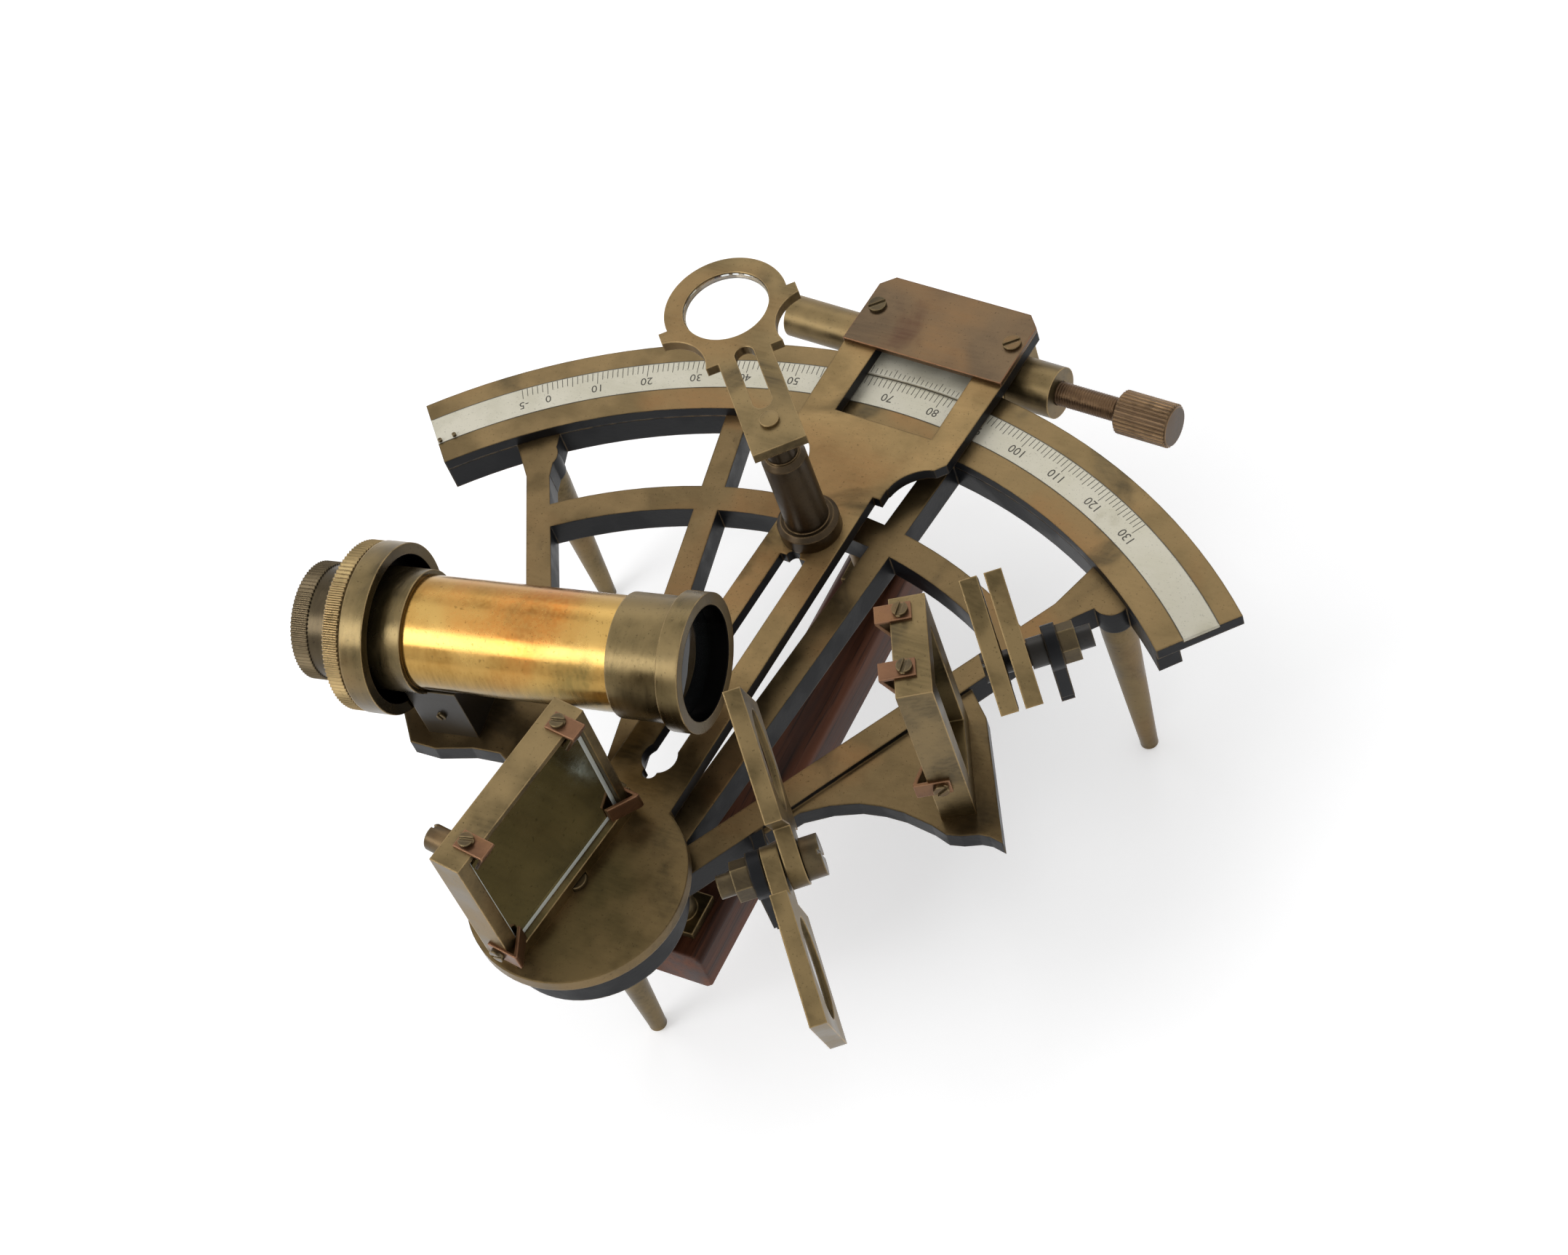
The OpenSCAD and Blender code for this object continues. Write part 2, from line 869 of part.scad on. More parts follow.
module shade_glass(offset) {
    translate([shade_lip, shade_root + shade_l / 2, offset])
        rotate([0, 90, 0])
            cylinder(d = shade_glass_d, h = shade_t - 2 * shade_lip);
}

module on_index_shade(which) {
    on_bolt(index_bolt_pos, index_bolt_az, index_swings[which])
        translate([index_shade_s[which], 0, 0])
            children();
}

module on_horizon_shade(which) {
    on_bolt(horizon_bolt_pos, horizon_bolt_az, horizon_swing)
        translate([horizon_shade_s[which], 0, 0])
            mirror([0, 0, 1])
                children();
}

module index_shade_upper() {
    color(brass)
        on_index_shade(0)
            shade_frame(index_shade_w, index_shade_offset);
}

module index_shade_lower() {
    color(brass)
        on_index_shade(1)
            shade_frame(index_shade_w, index_shade_offset);
}

module index_glass_upper() {
    color(dark_glass)
        on_index_shade(0)
            shade_glass(index_shade_offset);
}

module index_glass_lower() {
    color(dark_glass)
        on_index_shade(1)
            shade_glass(index_shade_offset);
}

module horizon_shade_inner() {
    color(brass)
        on_horizon_shade(0)
            shade_frame(horizon_shade_w, horizon_shade_offset);
}

module horizon_shade_outer() {
    color(brass)
        on_horizon_shade(1)
            shade_frame(horizon_shade_w, horizon_shade_offset);
}

module horizon_glass_inner() {
    color(dark_glass)
        on_horizon_shade(0)
            shade_glass(horizon_shade_offset);
}

module horizon_glass_outer() {
    color(dark_glass)
        on_horizon_shade(1)
            shade_glass(horizon_shade_offset);
}

module shade_nut() {
    difference() {
        cylinder(r = shade_nut_r, h = shade_nut_l, $fn = 6);
        translate([0, 0, -eps])
            cylinder(d = shade_bolt_d, h = shade_nut_l + 2 * eps, $fn = 48);
    }
}

module index_shade_bolt() {
    color(brass)
        on_bolt(index_bolt_pos, index_bolt_az)
            rotate([0, 90, 0]) {
                translate([0, 0, index_head_s])
                    screw_head(shade_head_r, shade_head_l);
                translate([0, 0, index_lug_s - shade_nut_l - bolt_end_l])
                    cylinder(d = shade_bolt_d, h = index_head_s - index_lug_s + shade_nut_l + bolt_end_l + eps);
            }
}

module index_shade_nut() {
    color(brass)
        on_bolt(index_bolt_pos, index_bolt_az)
            rotate([0, 90, 0])
                translate([0, 0, index_lug_s - shade_nut_l])
                    shade_nut();
}

module horizon_shade_bolt() {
    color(black_paint)
        on_bolt(horizon_bolt_pos, horizon_bolt_az)
            rotate([0, 90, 0]) {
                translate([0, 0, horizon_head_s])
                    mirror([0, 0, 1])
                        screw_head(horizon_head_r, horizon_head_l);
                translate([0, 0, horizon_head_s - eps])
                    cylinder(d = shade_bolt_d,
                        h = horizon_lug_s + lug_t + shade_nut_l + bolt_end_l - horizon_head_s);
                translate([0, 0, side_gap])
                    cylinder(r = collar_r, h = collar_l);
            }
}

module horizon_shade_nut() {
    color(brass)
        on_bolt(horizon_bolt_pos, horizon_bolt_az)
            rotate([0, 90, 0])
                translate([0, 0, horizon_lug_s + lug_t])
                    shade_nut();
}

// Index arm

module pivot_screw() {
    color(brass)
        translate([0, 0, pivot_bottom]) {
            cylinder(d = pivot_d, h = arm_top + side_gap - pivot_bottom + eps);
            translate([0, 0, arm_top + side_gap - pivot_bottom])
                screw_head(pivot_head_r, pivot_head_t, 60);
        }
}

// The slot along the bar, with a round eye at its lower end and a small cusp at both
module bar_slot(depth) {
    translate([-slot_w / 2, slot_from_y, 0])
        cube([slot_w, slot_to_y - slot_from_y, depth]);
    translate([0, slot_from_y, 0])
        cylinder(r = slot_eye_r, h = depth);
    for (y = [slot_from_y - slot_eye_r, slot_to_y])
        translate([0, y, 0])
            cylinder(r = slot_cusp_r, h = depth);
}

// The fish tail, from the lugs on the bar to the clipped outer corners
module arm_tail() {
    tail = tail_w / 2;
    lug = arm_w / 2 + flare_lug_w;
    difference() {
        linear_extrude(arm_t)
            polygon([
                [-lug, flare_y], [lug, flare_y], [lug, flare_y + flare_lug_l],
                [tail - 1, tail_y], [tail, cover_y], [tail, arm_end_y - corner_clip],
                [tail - corner_clip, arm_end_y], [corner_clip - tail, arm_end_y],
                [-tail, arm_end_y - corner_clip], [-tail, cover_y], [1 - tail, tail_y],
                [-lug, flare_y + flare_lug_l]
            ]);
        for (side = [-1, 1])
            translate([side * (tail - 0.4), tail_y - 14.2, -eps])
                cylinder(r = tail - 0.6 - lug, h = arm_t + 2 * eps);
    }
}

module index_arm() {
    cut = arm_t + 2 * eps;
    color(brass)
        on_arm()
            translate([0, 0, arm_floor])
                difference() {
                    union() {
                        cylinder(r = disc_r, h = arm_t);
                        linear_extrude(arm_t)
                            bar_outline([0, disc_r / 2], [0, flare_y + 2], arm_w + 3, arm_w);
                        arm_tail();
                    }
                    translate([window_x - window_w / 2, window_y, -eps])
                        cube([window_w, window_end_y - window_y, cut]);
                    translate([0, 0, -eps]) {
                        bar_slot(cut);
                        cylinder(d = pivot_d + 2 * running_fit, h = cut);
                    }
                }
}

module vernier_plate() {
    span = asin((window_w / 2 + vernier_lap) / scale_out_r);
    color(silvered)
        on_arm()
            intersection() {
                translate([0, 0, limb_h + vernier_gap])
                    arc_band(scale_out_r, limb_r + 4, 90 - span - 1, 90 + span + 1, vernier_t);
                translate([window_x - window_w / 2 - vernier_lap, window_y, limb_h])
                    cube([window_w + 2 * vernier_lap, housing_y - side_gap - window_y, arm_gap]);
            }
}

module cover_plate() {
    tail = tail_w / 2;
    color(copper_brown)
        on_arm()
            translate([0, 0, arm_top])
                linear_extrude(cover_t)
                    polygon([
                        [-tail, cover_y], [tail, cover_y], [tail, arm_end_y - corner_clip],
                        [tail - corner_clip, arm_end_y], [corner_clip - tail, arm_end_y],
                        [-tail, arm_end_y - corner_clip]
                    ]);
}

module cover_screws() {
    color(brass)
        on_arm()
            for (side = [-1, 1])
                translate([side * cover_screw_x, cover_screw_y, cover_top])
                    screw_head(cover_screw_r, 0.9, 45);
}

// Tangent screw and clamp

module screw_housing() {
    color(brass)
        on_arm()
            difference() {
                union() {
                    translate([-housing_w / 2, housing_y, housing_floor])
                        cube([housing_w, housing_end_y - housing_y, arm_floor - housing_floor]);
                    translate([-tongue_w / 2, clamp_y - tongue_l / 2, tongue_floor])
                        cube([tongue_w, housing_y - clamp_y + tongue_l / 2 + 1, tongue_t]);
                }
                translate([-housing_w, tangent_y, tangent_z])
                    rotate([0, 90, 0])
                        cylinder(d = tangent_d + 2 * running_fit, h = 2 * housing_w);
                translate([0, clamp_y, tongue_floor - 1])
                    cylinder(d = clamp_d + 2 * running_fit, h = tongue_t + 2);
            }
}

module spring_barrel() {
    color(brass)
        on_arm()
            translate([-housing_w / 2 - barrel_l, tangent_y, tangent_z])
                rotate([0, 90, 0])
                    difference() {
                        cylinder(d = barrel_d, h = barrel_l);
                        translate([0, 0, 3])
                            cylinder(d = barrel_d - 3, h = barrel_l);
                    }
}

module tangent_collar() {
    color(brass)
        on_arm()
            translate([housing_w / 2, tangent_y, tangent_z])
                rotate([0, 90, 0])
                    difference() {
                        cylinder(r = tangent_collar_r, h = tangent_collar_l);
                        translate([0, 0, -eps])
                            cylinder(d = tangent_d + 2 * running_fit, h = tangent_collar_l + 2 * eps);
                    }
}

module tangent_screw() {
    color(brass)
        on_arm()
            translate([housing_w / 2 + tangent_collar_l, tangent_y, tangent_z])
                rotate([0, 90, 0]) {
                    translate([0, 0, -tangent_collar_l - tangent_grip_l])
                        cylinder(d = tangent_d, h = tangent_collar_l + tangent_grip_l + tangent_free_l);
                    translate([0, 0, tangent_free_l - eps])
                        cylinder(d = knob_d, h = knob_l);
                }
}

module clamp_screw() {
    color(brass)
        on_arm()
            translate([0, clamp_y, tongue_floor - 2]) {
                cylinder(d = clamp_d, h = casting_top - clamp_tip_gap - tongue_floor + 2);
                translate([0, 0, -clamp_head_l])
                    cylinder(d = clamp_head_d, h = clamp_head_l + eps);
            }
}

// Index mirror

module index_mirror_block() {
    opening_l = index_mirror_l - near_post - far_post;
    color(brass)
        on_index_mirror()
            difference() {
                cube([mirror_block_t, index_mirror_l, index_mirror_h]);
                translate([mirror_back_t, near_post, mirror_sill_h])
                    cube([mirror_block_t, opening_l, index_mirror_h - mirror_sill_h - mirror_top_bar]);
                translate([-index_mirror_x, -index_mirror_y, -eps])
                    cylinder(r = pivot_head_r + side_gap, h = pivot_notch_h);
            }
}

module index_mirror_glass() {
    opening_l = index_mirror_l - near_post - far_post;
    color(clear_glass)
        on_index_mirror()
            translate([mirror_back_t, near_post, mirror_sill_h])
                cube([glass_t, opening_l, index_mirror_h - mirror_sill_h - mirror_top_bar]);
}

module index_mirror_clips() {
    color(copper)
        on_index_mirror() {
            for (y = index_clip_y)
                translate([mirror_block_t, y, index_mirror_h])
                    mirror([1, 0, 0])
                        clip(index_recess);
            for (end = [0, 1])
                translate([mirror_block_t, end * index_mirror_l, index_end_clip_z])
                    mirror([0, end, 0])
                        rotate([90, 0, 0])
                            mirror([1, 0, 0])
                                clip(index_recess);
        }
}

module index_mirror_screws() {
    color(brass)
        on_index_mirror() {
            for (y = index_clip_y)
                translate([mirror_block_t - clip_screw_x, y, index_mirror_h + clip_t])
                    screw_head(small_screw_r, small_screw_h, 20);
            for (end = [0, 1])
                translate([mirror_block_t - clip_screw_x, end * index_mirror_l, index_end_clip_z])
                    mirror([0, end, 0])
                        translate([0, -clip_t, 0])
                            rotate([90, 0, 0])
                                screw_head(small_screw_r, small_screw_h, 30);
        }
}

module mirror_adjuster() {
    color(brass)
        on_index_mirror()
            translate([0, adjuster_y, index_mirror_h - adjuster_drop])
                rotate([0, -90, 0])
                    screw_head(adjuster_r, adjuster_l);
}

// Magnifier

module magnifier_pillar() {
    color(brass)
        on_arm()
            translate([0, pillar_y, 0])
                rotate_extrude()
                    polygon([
                        [0, arm_top], [pillar_base_r, arm_top],
                        [pillar_base_r, arm_top + pillar_base_h - 1.2],
                        [pillar_base_r - 1.2, arm_top + pillar_base_h],
                        [pillar_post_r, arm_top + pillar_base_h],
                        [pillar_post_r, pillar_post_top - 1.5],
                        [pillar_post_r - 1.2, pillar_post_top],
                        [pillar_neck_r, pillar_post_top],
                        [pillar_neck_r, magnifier_floor - side_gap],
                        [magnifier_bore_r, magnifier_floor - side_gap],
                        [magnifier_bore_r, magnifier_floor + magnifier_t + side_gap],
                        [0, magnifier_floor + magnifier_t + side_gap]
                    ]);
}

module magnifier_screw() {
    color(brass)
        on_arm()
            translate([0, pillar_y, magnifier_floor + magnifier_t + side_gap])
                screw_head(magnifier_head_r, magnifier_head_t, 80);
}

module magnifier_outline() {
    half = magnifier_arm_w / 2;
    neck = magnifier_reach - magnifier_ring_r - 2;
    ear = magnifier_ring_r + 2.4;
    difference() {
        union() {
            translate([-magnifier_heel, -half])
                square([magnifier_heel + neck + 2, magnifier_arm_w]);
            translate([neck, -ear])
                square([magnifier_reach - neck - 1, 2 * ear]);
            translate([magnifier_reach, 0])
                circle(r = magnifier_ring_r, $fn = 96);
        }
        for (side = [-1, 1])
            translate([neck + 3.6, side * (ear + 1.6)])
                circle(r = ear - half - 1.2, $fn = 64);
        translate([magnifier_reach, 0])
            circle(r = magnifier_lens_r - lens_lip_w, $fn = 96);
        circle(r = magnifier_bore_r + running_fit);
        translate([magnifier_slot_from, -magnifier_slot_w / 2])
            square([neck - magnifier_slot_from, magnifier_slot_w]);
        translate([magnifier_slot_from, 0])
            circle(d = magnifier_slot_w, $fn = 32);
        translate([neck, 0])
            circle(d = magnifier_slot_w, $fn = 32);
    }
}

module magnifier_arm() {
    color(brass)
        on_magnifier()
            difference() {
                linear_extrude(magnifier_t)
                    magnifier_outline();
                translate([magnifier_reach, 0, lens_lip])
                    cylinder(r = magnifier_lens_r, h = magnifier_t, $fn = 96);
            }
}

module magnifier_lens() {
    color(clear_glass)
        on_magnifier()
            translate([magnifier_reach, 0, lens_lip])
                cylinder(r = magnifier_lens_r, h = magnifier_t - lens_lip - lens_sink, $fn = 96);
}

frame();
limb();
scale_strip();
stop_pins();
leg_left();
leg_right();
leg_pivot();
handle();
handle_bracket_near();
handle_bracket_far();
handle_screws();
telescope_bracket();
bracket_screw();
telescope_ring();
telescope_tube();
objective_cell();
objective_lens();
eyepiece();
eye_lens();
horizon_mirror_block();
horizon_mirror_glass();
horizon_mirror_clips();
horizon_mirror_screws();
horizon_shade_bolt();
horizon_shade_nut();
horizon_shade_outer();
horizon_glass_outer();
horizon_shade_inner();
horizon_glass_inner();
index_shade_bolt();
index_shade_nut();
index_shade_upper();
index_glass_upper();
index_shade_lower();
index_glass_lower();
pivot_screw();
index_arm();
vernier_plate();
cover_plate();
cover_screws();
screw_housing();
spring_barrel();
tangent_collar();
tangent_screw();
clamp_screw();
index_mirror_block();
index_mirror_glass();
index_mirror_clips();
index_mirror_screws();
mirror_adjuster();
magnifier_pillar();
magnifier_screw();
magnifier_arm();
magnifier_lens();
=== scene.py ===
"""The looks of a brass sextant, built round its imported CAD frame.

Sizes in the classes and helpers are millimetres, unless a docstring says metres.
"""

import logging
import math
from collections.abc import Callable
from dataclasses import dataclass, replace
from enum import Enum

import bmesh
import bpy
from mathutils import Matrix, Vector


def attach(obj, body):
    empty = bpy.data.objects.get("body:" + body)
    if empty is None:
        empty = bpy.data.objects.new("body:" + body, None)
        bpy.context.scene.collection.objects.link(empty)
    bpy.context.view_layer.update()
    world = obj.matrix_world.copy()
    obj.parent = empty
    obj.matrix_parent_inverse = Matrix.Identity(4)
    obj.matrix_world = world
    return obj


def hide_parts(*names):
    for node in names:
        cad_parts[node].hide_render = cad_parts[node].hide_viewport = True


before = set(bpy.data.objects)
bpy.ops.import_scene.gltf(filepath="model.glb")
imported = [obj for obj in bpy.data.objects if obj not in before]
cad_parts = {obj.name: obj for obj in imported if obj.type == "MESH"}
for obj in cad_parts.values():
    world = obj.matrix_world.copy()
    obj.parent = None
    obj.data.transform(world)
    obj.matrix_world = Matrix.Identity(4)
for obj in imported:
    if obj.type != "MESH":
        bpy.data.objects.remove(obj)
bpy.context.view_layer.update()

MM = 0.001
NEAR = 1e-6
SMOOTH_ANGLE = 35.0
LOG = logging.getLogger("sextant")

Colour = tuple[float, float, float]
Point = tuple[float, float, float]
Object = bpy.types.Object
Material = bpy.types.Material
Node = bpy.types.Node
NodeTree = bpy.types.NodeTree
Outputs = bpy.types.NodeOutputs
Socket = bpy.types.NodeSocket
Value = Socket | float | tuple[float, float, float]
Palette = dict[str, Material]


class Element(Enum):
    """The kinds of mesh element that can be picked in edit mode."""

    VERTEX = ("VERT", "verts")
    EDGE = ("EDGE", "edges")
    FACE = ("FACE", "faces")


def turn(degrees: float, axis: str = "Z") -> Matrix:
    """Gives a turn about an axis through the origin."""
    return Matrix.Rotation(math.radians(degrees), 4, axis)


def shift(x: float, y: float, z: float) -> Matrix:
    """Gives a shift by three lengths in millimetres."""
    return Matrix.Translation(Vector((x, y, z)) * MM)


# Frames of reference, as in the CAD model

TELESCOPE_AT = (-60.0, 45.0, 98.0)
TELESCOPE_TURN = 9.45
ARM = turn(-4.5)
TELESCOPE = shift(*TELESCOPE_AT) @ turn(TELESCOPE_TURN) @ turn(90, "Y")
TANGENT = ARM @ shift(35.6, 189.5, 64.45) @ turn(90, "Y")
MAGNIFIER = ARM @ shift(0, 118, 118) @ turn(137.2)
INDEX_MIRROR = ARM @ turn(-3.5) @ shift(-7.6, -27, 75.5)
HORIZON_MIRROR = shift(79.5, 50.3, 66.0) @ turn(29) @ shift(-2, 0.8, 0)


def srgb(red: int, green: int, blue: int) -> Colour:
    """Turns a screen colour, from 0 to 255, into the linear colour that a shader takes."""
    shares = (c / 255 for c in (red, green, blue))
    return tuple(c / 12.92 if c < 0.04045 else ((c + 0.055) / 1.055) ** 2.4 for c in shares)


def toned(colour: Colour, factor: float) -> Colour:
    """Gives a colour made darker or paler by a factor."""
    return tuple(min(1.0, c * factor) for c in colour)


OLIVE = srgb(95, 81, 54)
OLIVE_LIGHT = srgb(136, 116, 80)
OLIVE_DARK = srgb(56, 50, 38)
RUBBED = srgb(186, 158, 112)
WARM = srgb(140, 100, 62)
BLACK_PAINT = srgb(13, 14, 17)
# Near-black of the blacking inside the telescope, also painted as shade in its recesses.
BLACKING_AND_SHADE = (0.008, 0.007, 0.006)
WHITE = (1.0, 1.0, 1.0)

# How dark the specks on metal are beside the body colour, and how far they cover it

SPECK_TONE = 0.45
SPECK_SHARE = 0.6


class Graph:
    """A node tree that is written down from its inputs to its output."""

    def __init__(self, tree: NodeTree) -> None:
        """Keeps the tree."""
        self.tree = tree

    def node(self, kind: str, inputs: dict | None = None, **settings: object) -> Node:
        """Adds a node.

        Args:
            kind: The node's type without its leading word.
            inputs: A value or a socket for each input, by name or number.
            **settings: The node's own settings.

        Returns:
            The node.
        """
        made = self.tree.nodes.new("ShaderNode" + kind)
        for key, value in settings.items():
            setattr(made, key, value)
        self.fill(made, inputs or {})
        return made

    def fill(self, node: Node, inputs: dict[str | int, Value]) -> None:
        """Links or sets a node's inputs, by name or number."""
        for key, value in inputs.items():
            self.feed(node.inputs[key], value)

    def feed(self, socket: Socket, value: Value) -> None:
        """Links another socket to this one, or sets its value.

        Args:
            socket: The input.
            value: A socket, a number, or three numbers.
        """
        if isinstance(value, Socket):
            self.tree.links.new(value, socket)
        elif isinstance(value, tuple) and socket.type == "RGBA":
            socket.default_value = (*value, 1)
        else:
            socket.default_value = value

    def math(self, operation: str, a: Value, b: Value) -> Socket:
        """Works on two numbers.

        Args:
            operation: The Math node's operation.
            a: The first number.
            b: The second number.

        Returns:
            The result, kept from 0 to 1 unless the numbers are multiplied.
        """
        made = self.node("Math", {0: a, 1: b}, operation=operation)
        made.use_clamp = operation != "MULTIPLY"
        return made.outputs[0]

    def weigh(self, a: Socket, b: Socket, share: float) -> Socket:
        """Adds two numbers, b by its share and a by the rest."""
        rest = self.math("MULTIPLY", a, 1 - share)
        return self.math("ADD", rest, self.math("MULTIPLY", b, share))

    def vector(self, operation: str, a: Value, b: Value) -> Outputs:
        """Works on two vectors and returns the node's outputs."""
        return self.node("VectorMath", {0: a, 1: b}, operation=operation).outputs

    def length(self, a: Value) -> Socket:
        """Measures a vector."""
        return self.node("VectorMath", {0: a}, operation="LENGTH").outputs["Value"]

    def height(self, a: Value) -> Socket:
        """Takes the Z part of a vector."""
        return self.node("SeparateXYZ", {0: a}).outputs[2]

    def span(self, value: Value, low: float, high: float, to: tuple = (0.0, 1.0)) -> Socket:
        """Maps a value from low and high to the two numbers of to, with a soft start and end."""
        wanted = {0: value, 1: low, 2: high, 3: to[0], 4: to[1]}
        return self.node("MapRange", wanted, interpolation_type="SMOOTHSTEP").outputs[0]

    def blend(self, share: Value, a: Value, b: Value) -> Socket:
        """Mixes one colour into another.

        Args:
            share: How much of the second colour there is, from 0 to 1.
            a: The first colour.
            b: The second colour.

        Returns:
            The mixed colour.
        """
        made = self.node("Mix", {0: share}, data_type="RGBA")
        self.feed(made.inputs[6], a)
        self.feed(made.inputs[7], b)
        return made.outputs[2]

    def tint(self, colour: Value, mask: Socket, share: float, other: Value) -> Socket:
        """Mixes another colour into a colour where a mask is set, at most by a share."""
        return self.blend(self.math("MULTIPLY", mask, share), colour, other)

    def noise(self, where: Socket, scale: Value, detail: float = 4.0, bend: float = 0.0) -> Socket:
        """Adds a noise pattern and returns its value."""
        wanted = {"Vector": where, "Scale": scale, "Detail": detail, "Distortion": bend}
        return self.node("TexNoise", wanted).outputs[0]

    def relief(self, height: Socket, strength: float, depth: float, **under: Socket) -> Socket:
        """Gives the normal of a fine relief, its depth in metres, over the Normal of the edges."""
        wanted = {"Height": height, "Strength": strength, "Distance": depth, **under}
        return self.node("Bump", wanted).outputs[0]


def new_group(
    name: str, inputs: dict[str, float], outputs: dict[str, str]
) -> tuple[Graph, Outputs, bpy.types.NodeInputs]:
    """Starts a shader node group.

    Args:
        name: The group's name.
        inputs: Each number input with its usual value.
        outputs: Each output with its socket type.

    Returns:
        The graph, the sockets that the inputs give, and the sockets that the outputs take.
    """
    tree = bpy.data.node_groups.new(name, "ShaderNodeTree")
    for key, value in inputs.items():
        made = tree.interface.new_socket(name=key, in_out="INPUT", socket_type="NodeSocketFloat")
        made.default_value = value
    for key, kind in outputs.items():
        tree.interface.new_socket(name=key, in_out="OUTPUT", socket_type="NodeSocket" + kind)
    given = tree.nodes.new("NodeGroupInput").outputs
    taken = tree.nodes.new("NodeGroupOutput").inputs
    return Graph(tree), given, taken


def edge_group() -> NodeTree:
    """Builds the group that finds a piece's edges and rounds them to the eye.

    Returns:
        The group's tree, with the outputs Mask and Normal.
    """
    graph, given, taken = new_group(
        "worn_edges", {"Radius": 0.0006, "Spread": 0.5}, {"Mask": "Float", "Normal": "Vector"}
    )
    rounded = graph.node("Bevel", {"Radius": given["Radius"]}, samples=4).outputs[0]
    face = graph.node("NewGeometry").outputs["Normal"]
    same = graph.vector("DOT_PRODUCT", rounded, face)["Value"]
    edge = graph.span(graph.math("SUBTRACT", 1.0, same), 0.01, 0.14)
    where = graph.node("TexCoord").outputs["Object"]
    patchy = graph.span(graph.noise(where, 260.0), 0.3, 0.62)
    kept = graph.math("MULTIPLY", edge, graph.math("ADD", patchy, given["Spread"]))
    graph.feed(taken["Mask"], graph.math("MINIMUM", kept, 1.0))
    graph.feed(taken["Normal"], rounded)
    return graph.tree


def patina_group() -> NodeTree:
    """Builds the group of clouds, stains and specks that age a metal surface.

    Returns:
        The group's tree, with an output for each pattern and one for fine height.
    """
    names = ("Clouds", "Stains", "Specks", "Warm", "Height")
    graph, given, taken = new_group("patina", {"Scale": 1.0}, dict.fromkeys(names, "Float"))
    where = graph.node("TexCoord").outputs["Object"]
    scaled = graph.node("VectorMath", {0: where, 3: given["Scale"]}, operation="SCALE").outputs[0]
    for name, scale, detail, bend, low, high in (
        ("Clouds", 38.0, 6.0, 0.0, 0.36, 0.64),
        ("Warm", 13.0, 3.0, 0.4, 0.5, 0.66),
        ("Stains", 22.0, 5.0, 0.6, 0.56, 0.72),
        ("Specks", 900.0, 3.0, 0.0, 0.62, 0.72),
    ):
        graph.feed(taken[name], graph.span(graph.noise(scaled, scale, detail, bend), low, high))
    graph.feed(taken["Height"], graph.noise(scaled, 420.0, 5.0))
    return graph.tree


def brushed_group() -> NodeTree:
    """Builds the group of fine tool lines that run round or along a piece.

    Returns:
        The group's tree, with the output Lines.
    """
    names = {"Across X": 1.0, "Across Y": 1.0, "Across Z": 1.0, "Scale": 900.0}
    graph, given, taken = new_group("brushed", names, {"Lines": "Float"})
    where = graph.node("TexCoord").outputs["Object"]
    weights = [given[k] for k in ("Across X", "Across Y", "Across Z")]
    weight = graph.node("CombineXYZ", dict(enumerate(weights))).outputs[0]
    pressed = graph.vector("MULTIPLY", where, weight)[0]
    graph.feed(taken["Lines"], graph.noise(pressed, given["Scale"], 2.0))
    return graph.tree


def bore_group() -> NodeTree:
    """Builds the group that gives a point's distance from the telescope's axis.

    Returns:
        The group's tree, with the output Radius, in metres.
    """
    graph, _, taken = new_group("telescope_radius", {}, {"Radius": "Float"})
    place = {
        "Vector": graph.node("TexCoord").outputs["Object"],
        "Location": tuple(c * MM for c in TELESCOPE_AT),
        "Rotation": (0, math.radians(90), math.radians(TELESCOPE_TURN)),
    }
    local = graph.node("Mapping", place, vector_type="TEXTURE").outputs[0]
    graph.feed(taken["Radius"], graph.length(graph.vector("MULTIPLY", local, (1, 1, 0))[0]))
    return graph.tree


@dataclass(frozen=True)
class Groups:
    """The node groups that several finishes share."""

    edges: NodeTree
    patina: NodeTree
    brushed: NodeTree
    bore: NodeTree

    def use(self, graph: Graph, which: str, **values: float) -> Outputs:
        """Places a group in a material.

        Args:
            graph: The material's graph.
            which: The group's field name.
            **values: The group's inputs, with a line for each space.

        Returns:
            The group's outputs.
        """
        made = graph.tree.nodes.new("ShaderNodeGroup")
        made.node_tree = getattr(self, which)
        for key, value in values.items():
            made.inputs[key.replace("_", " ")].default_value = value
        return made.outputs

    def lines(self, graph: Graph, x: float, y: float, z: float, scale: float = 900.0) -> Socket:
        """Places the tool lines, close together along the axes with high numbers."""
        weights = {"Across_X": x, "Across_Y": y, "Across_Z": z}
        return self.use(graph, "brushed", Scale=scale, **weights)["Lines"]


def new_material(name: str) -> tuple[Material, Graph, Node]:
    """Starts a material.

    Args:
        name: The material's name.

    Returns:
        The material, its graph and its main shader.
    """
    material = bpy.data.materials.new(name)
    material.use_nodes = True
    return material, Graph(material.node_tree), material.node_tree.nodes["Principled BSDF"]


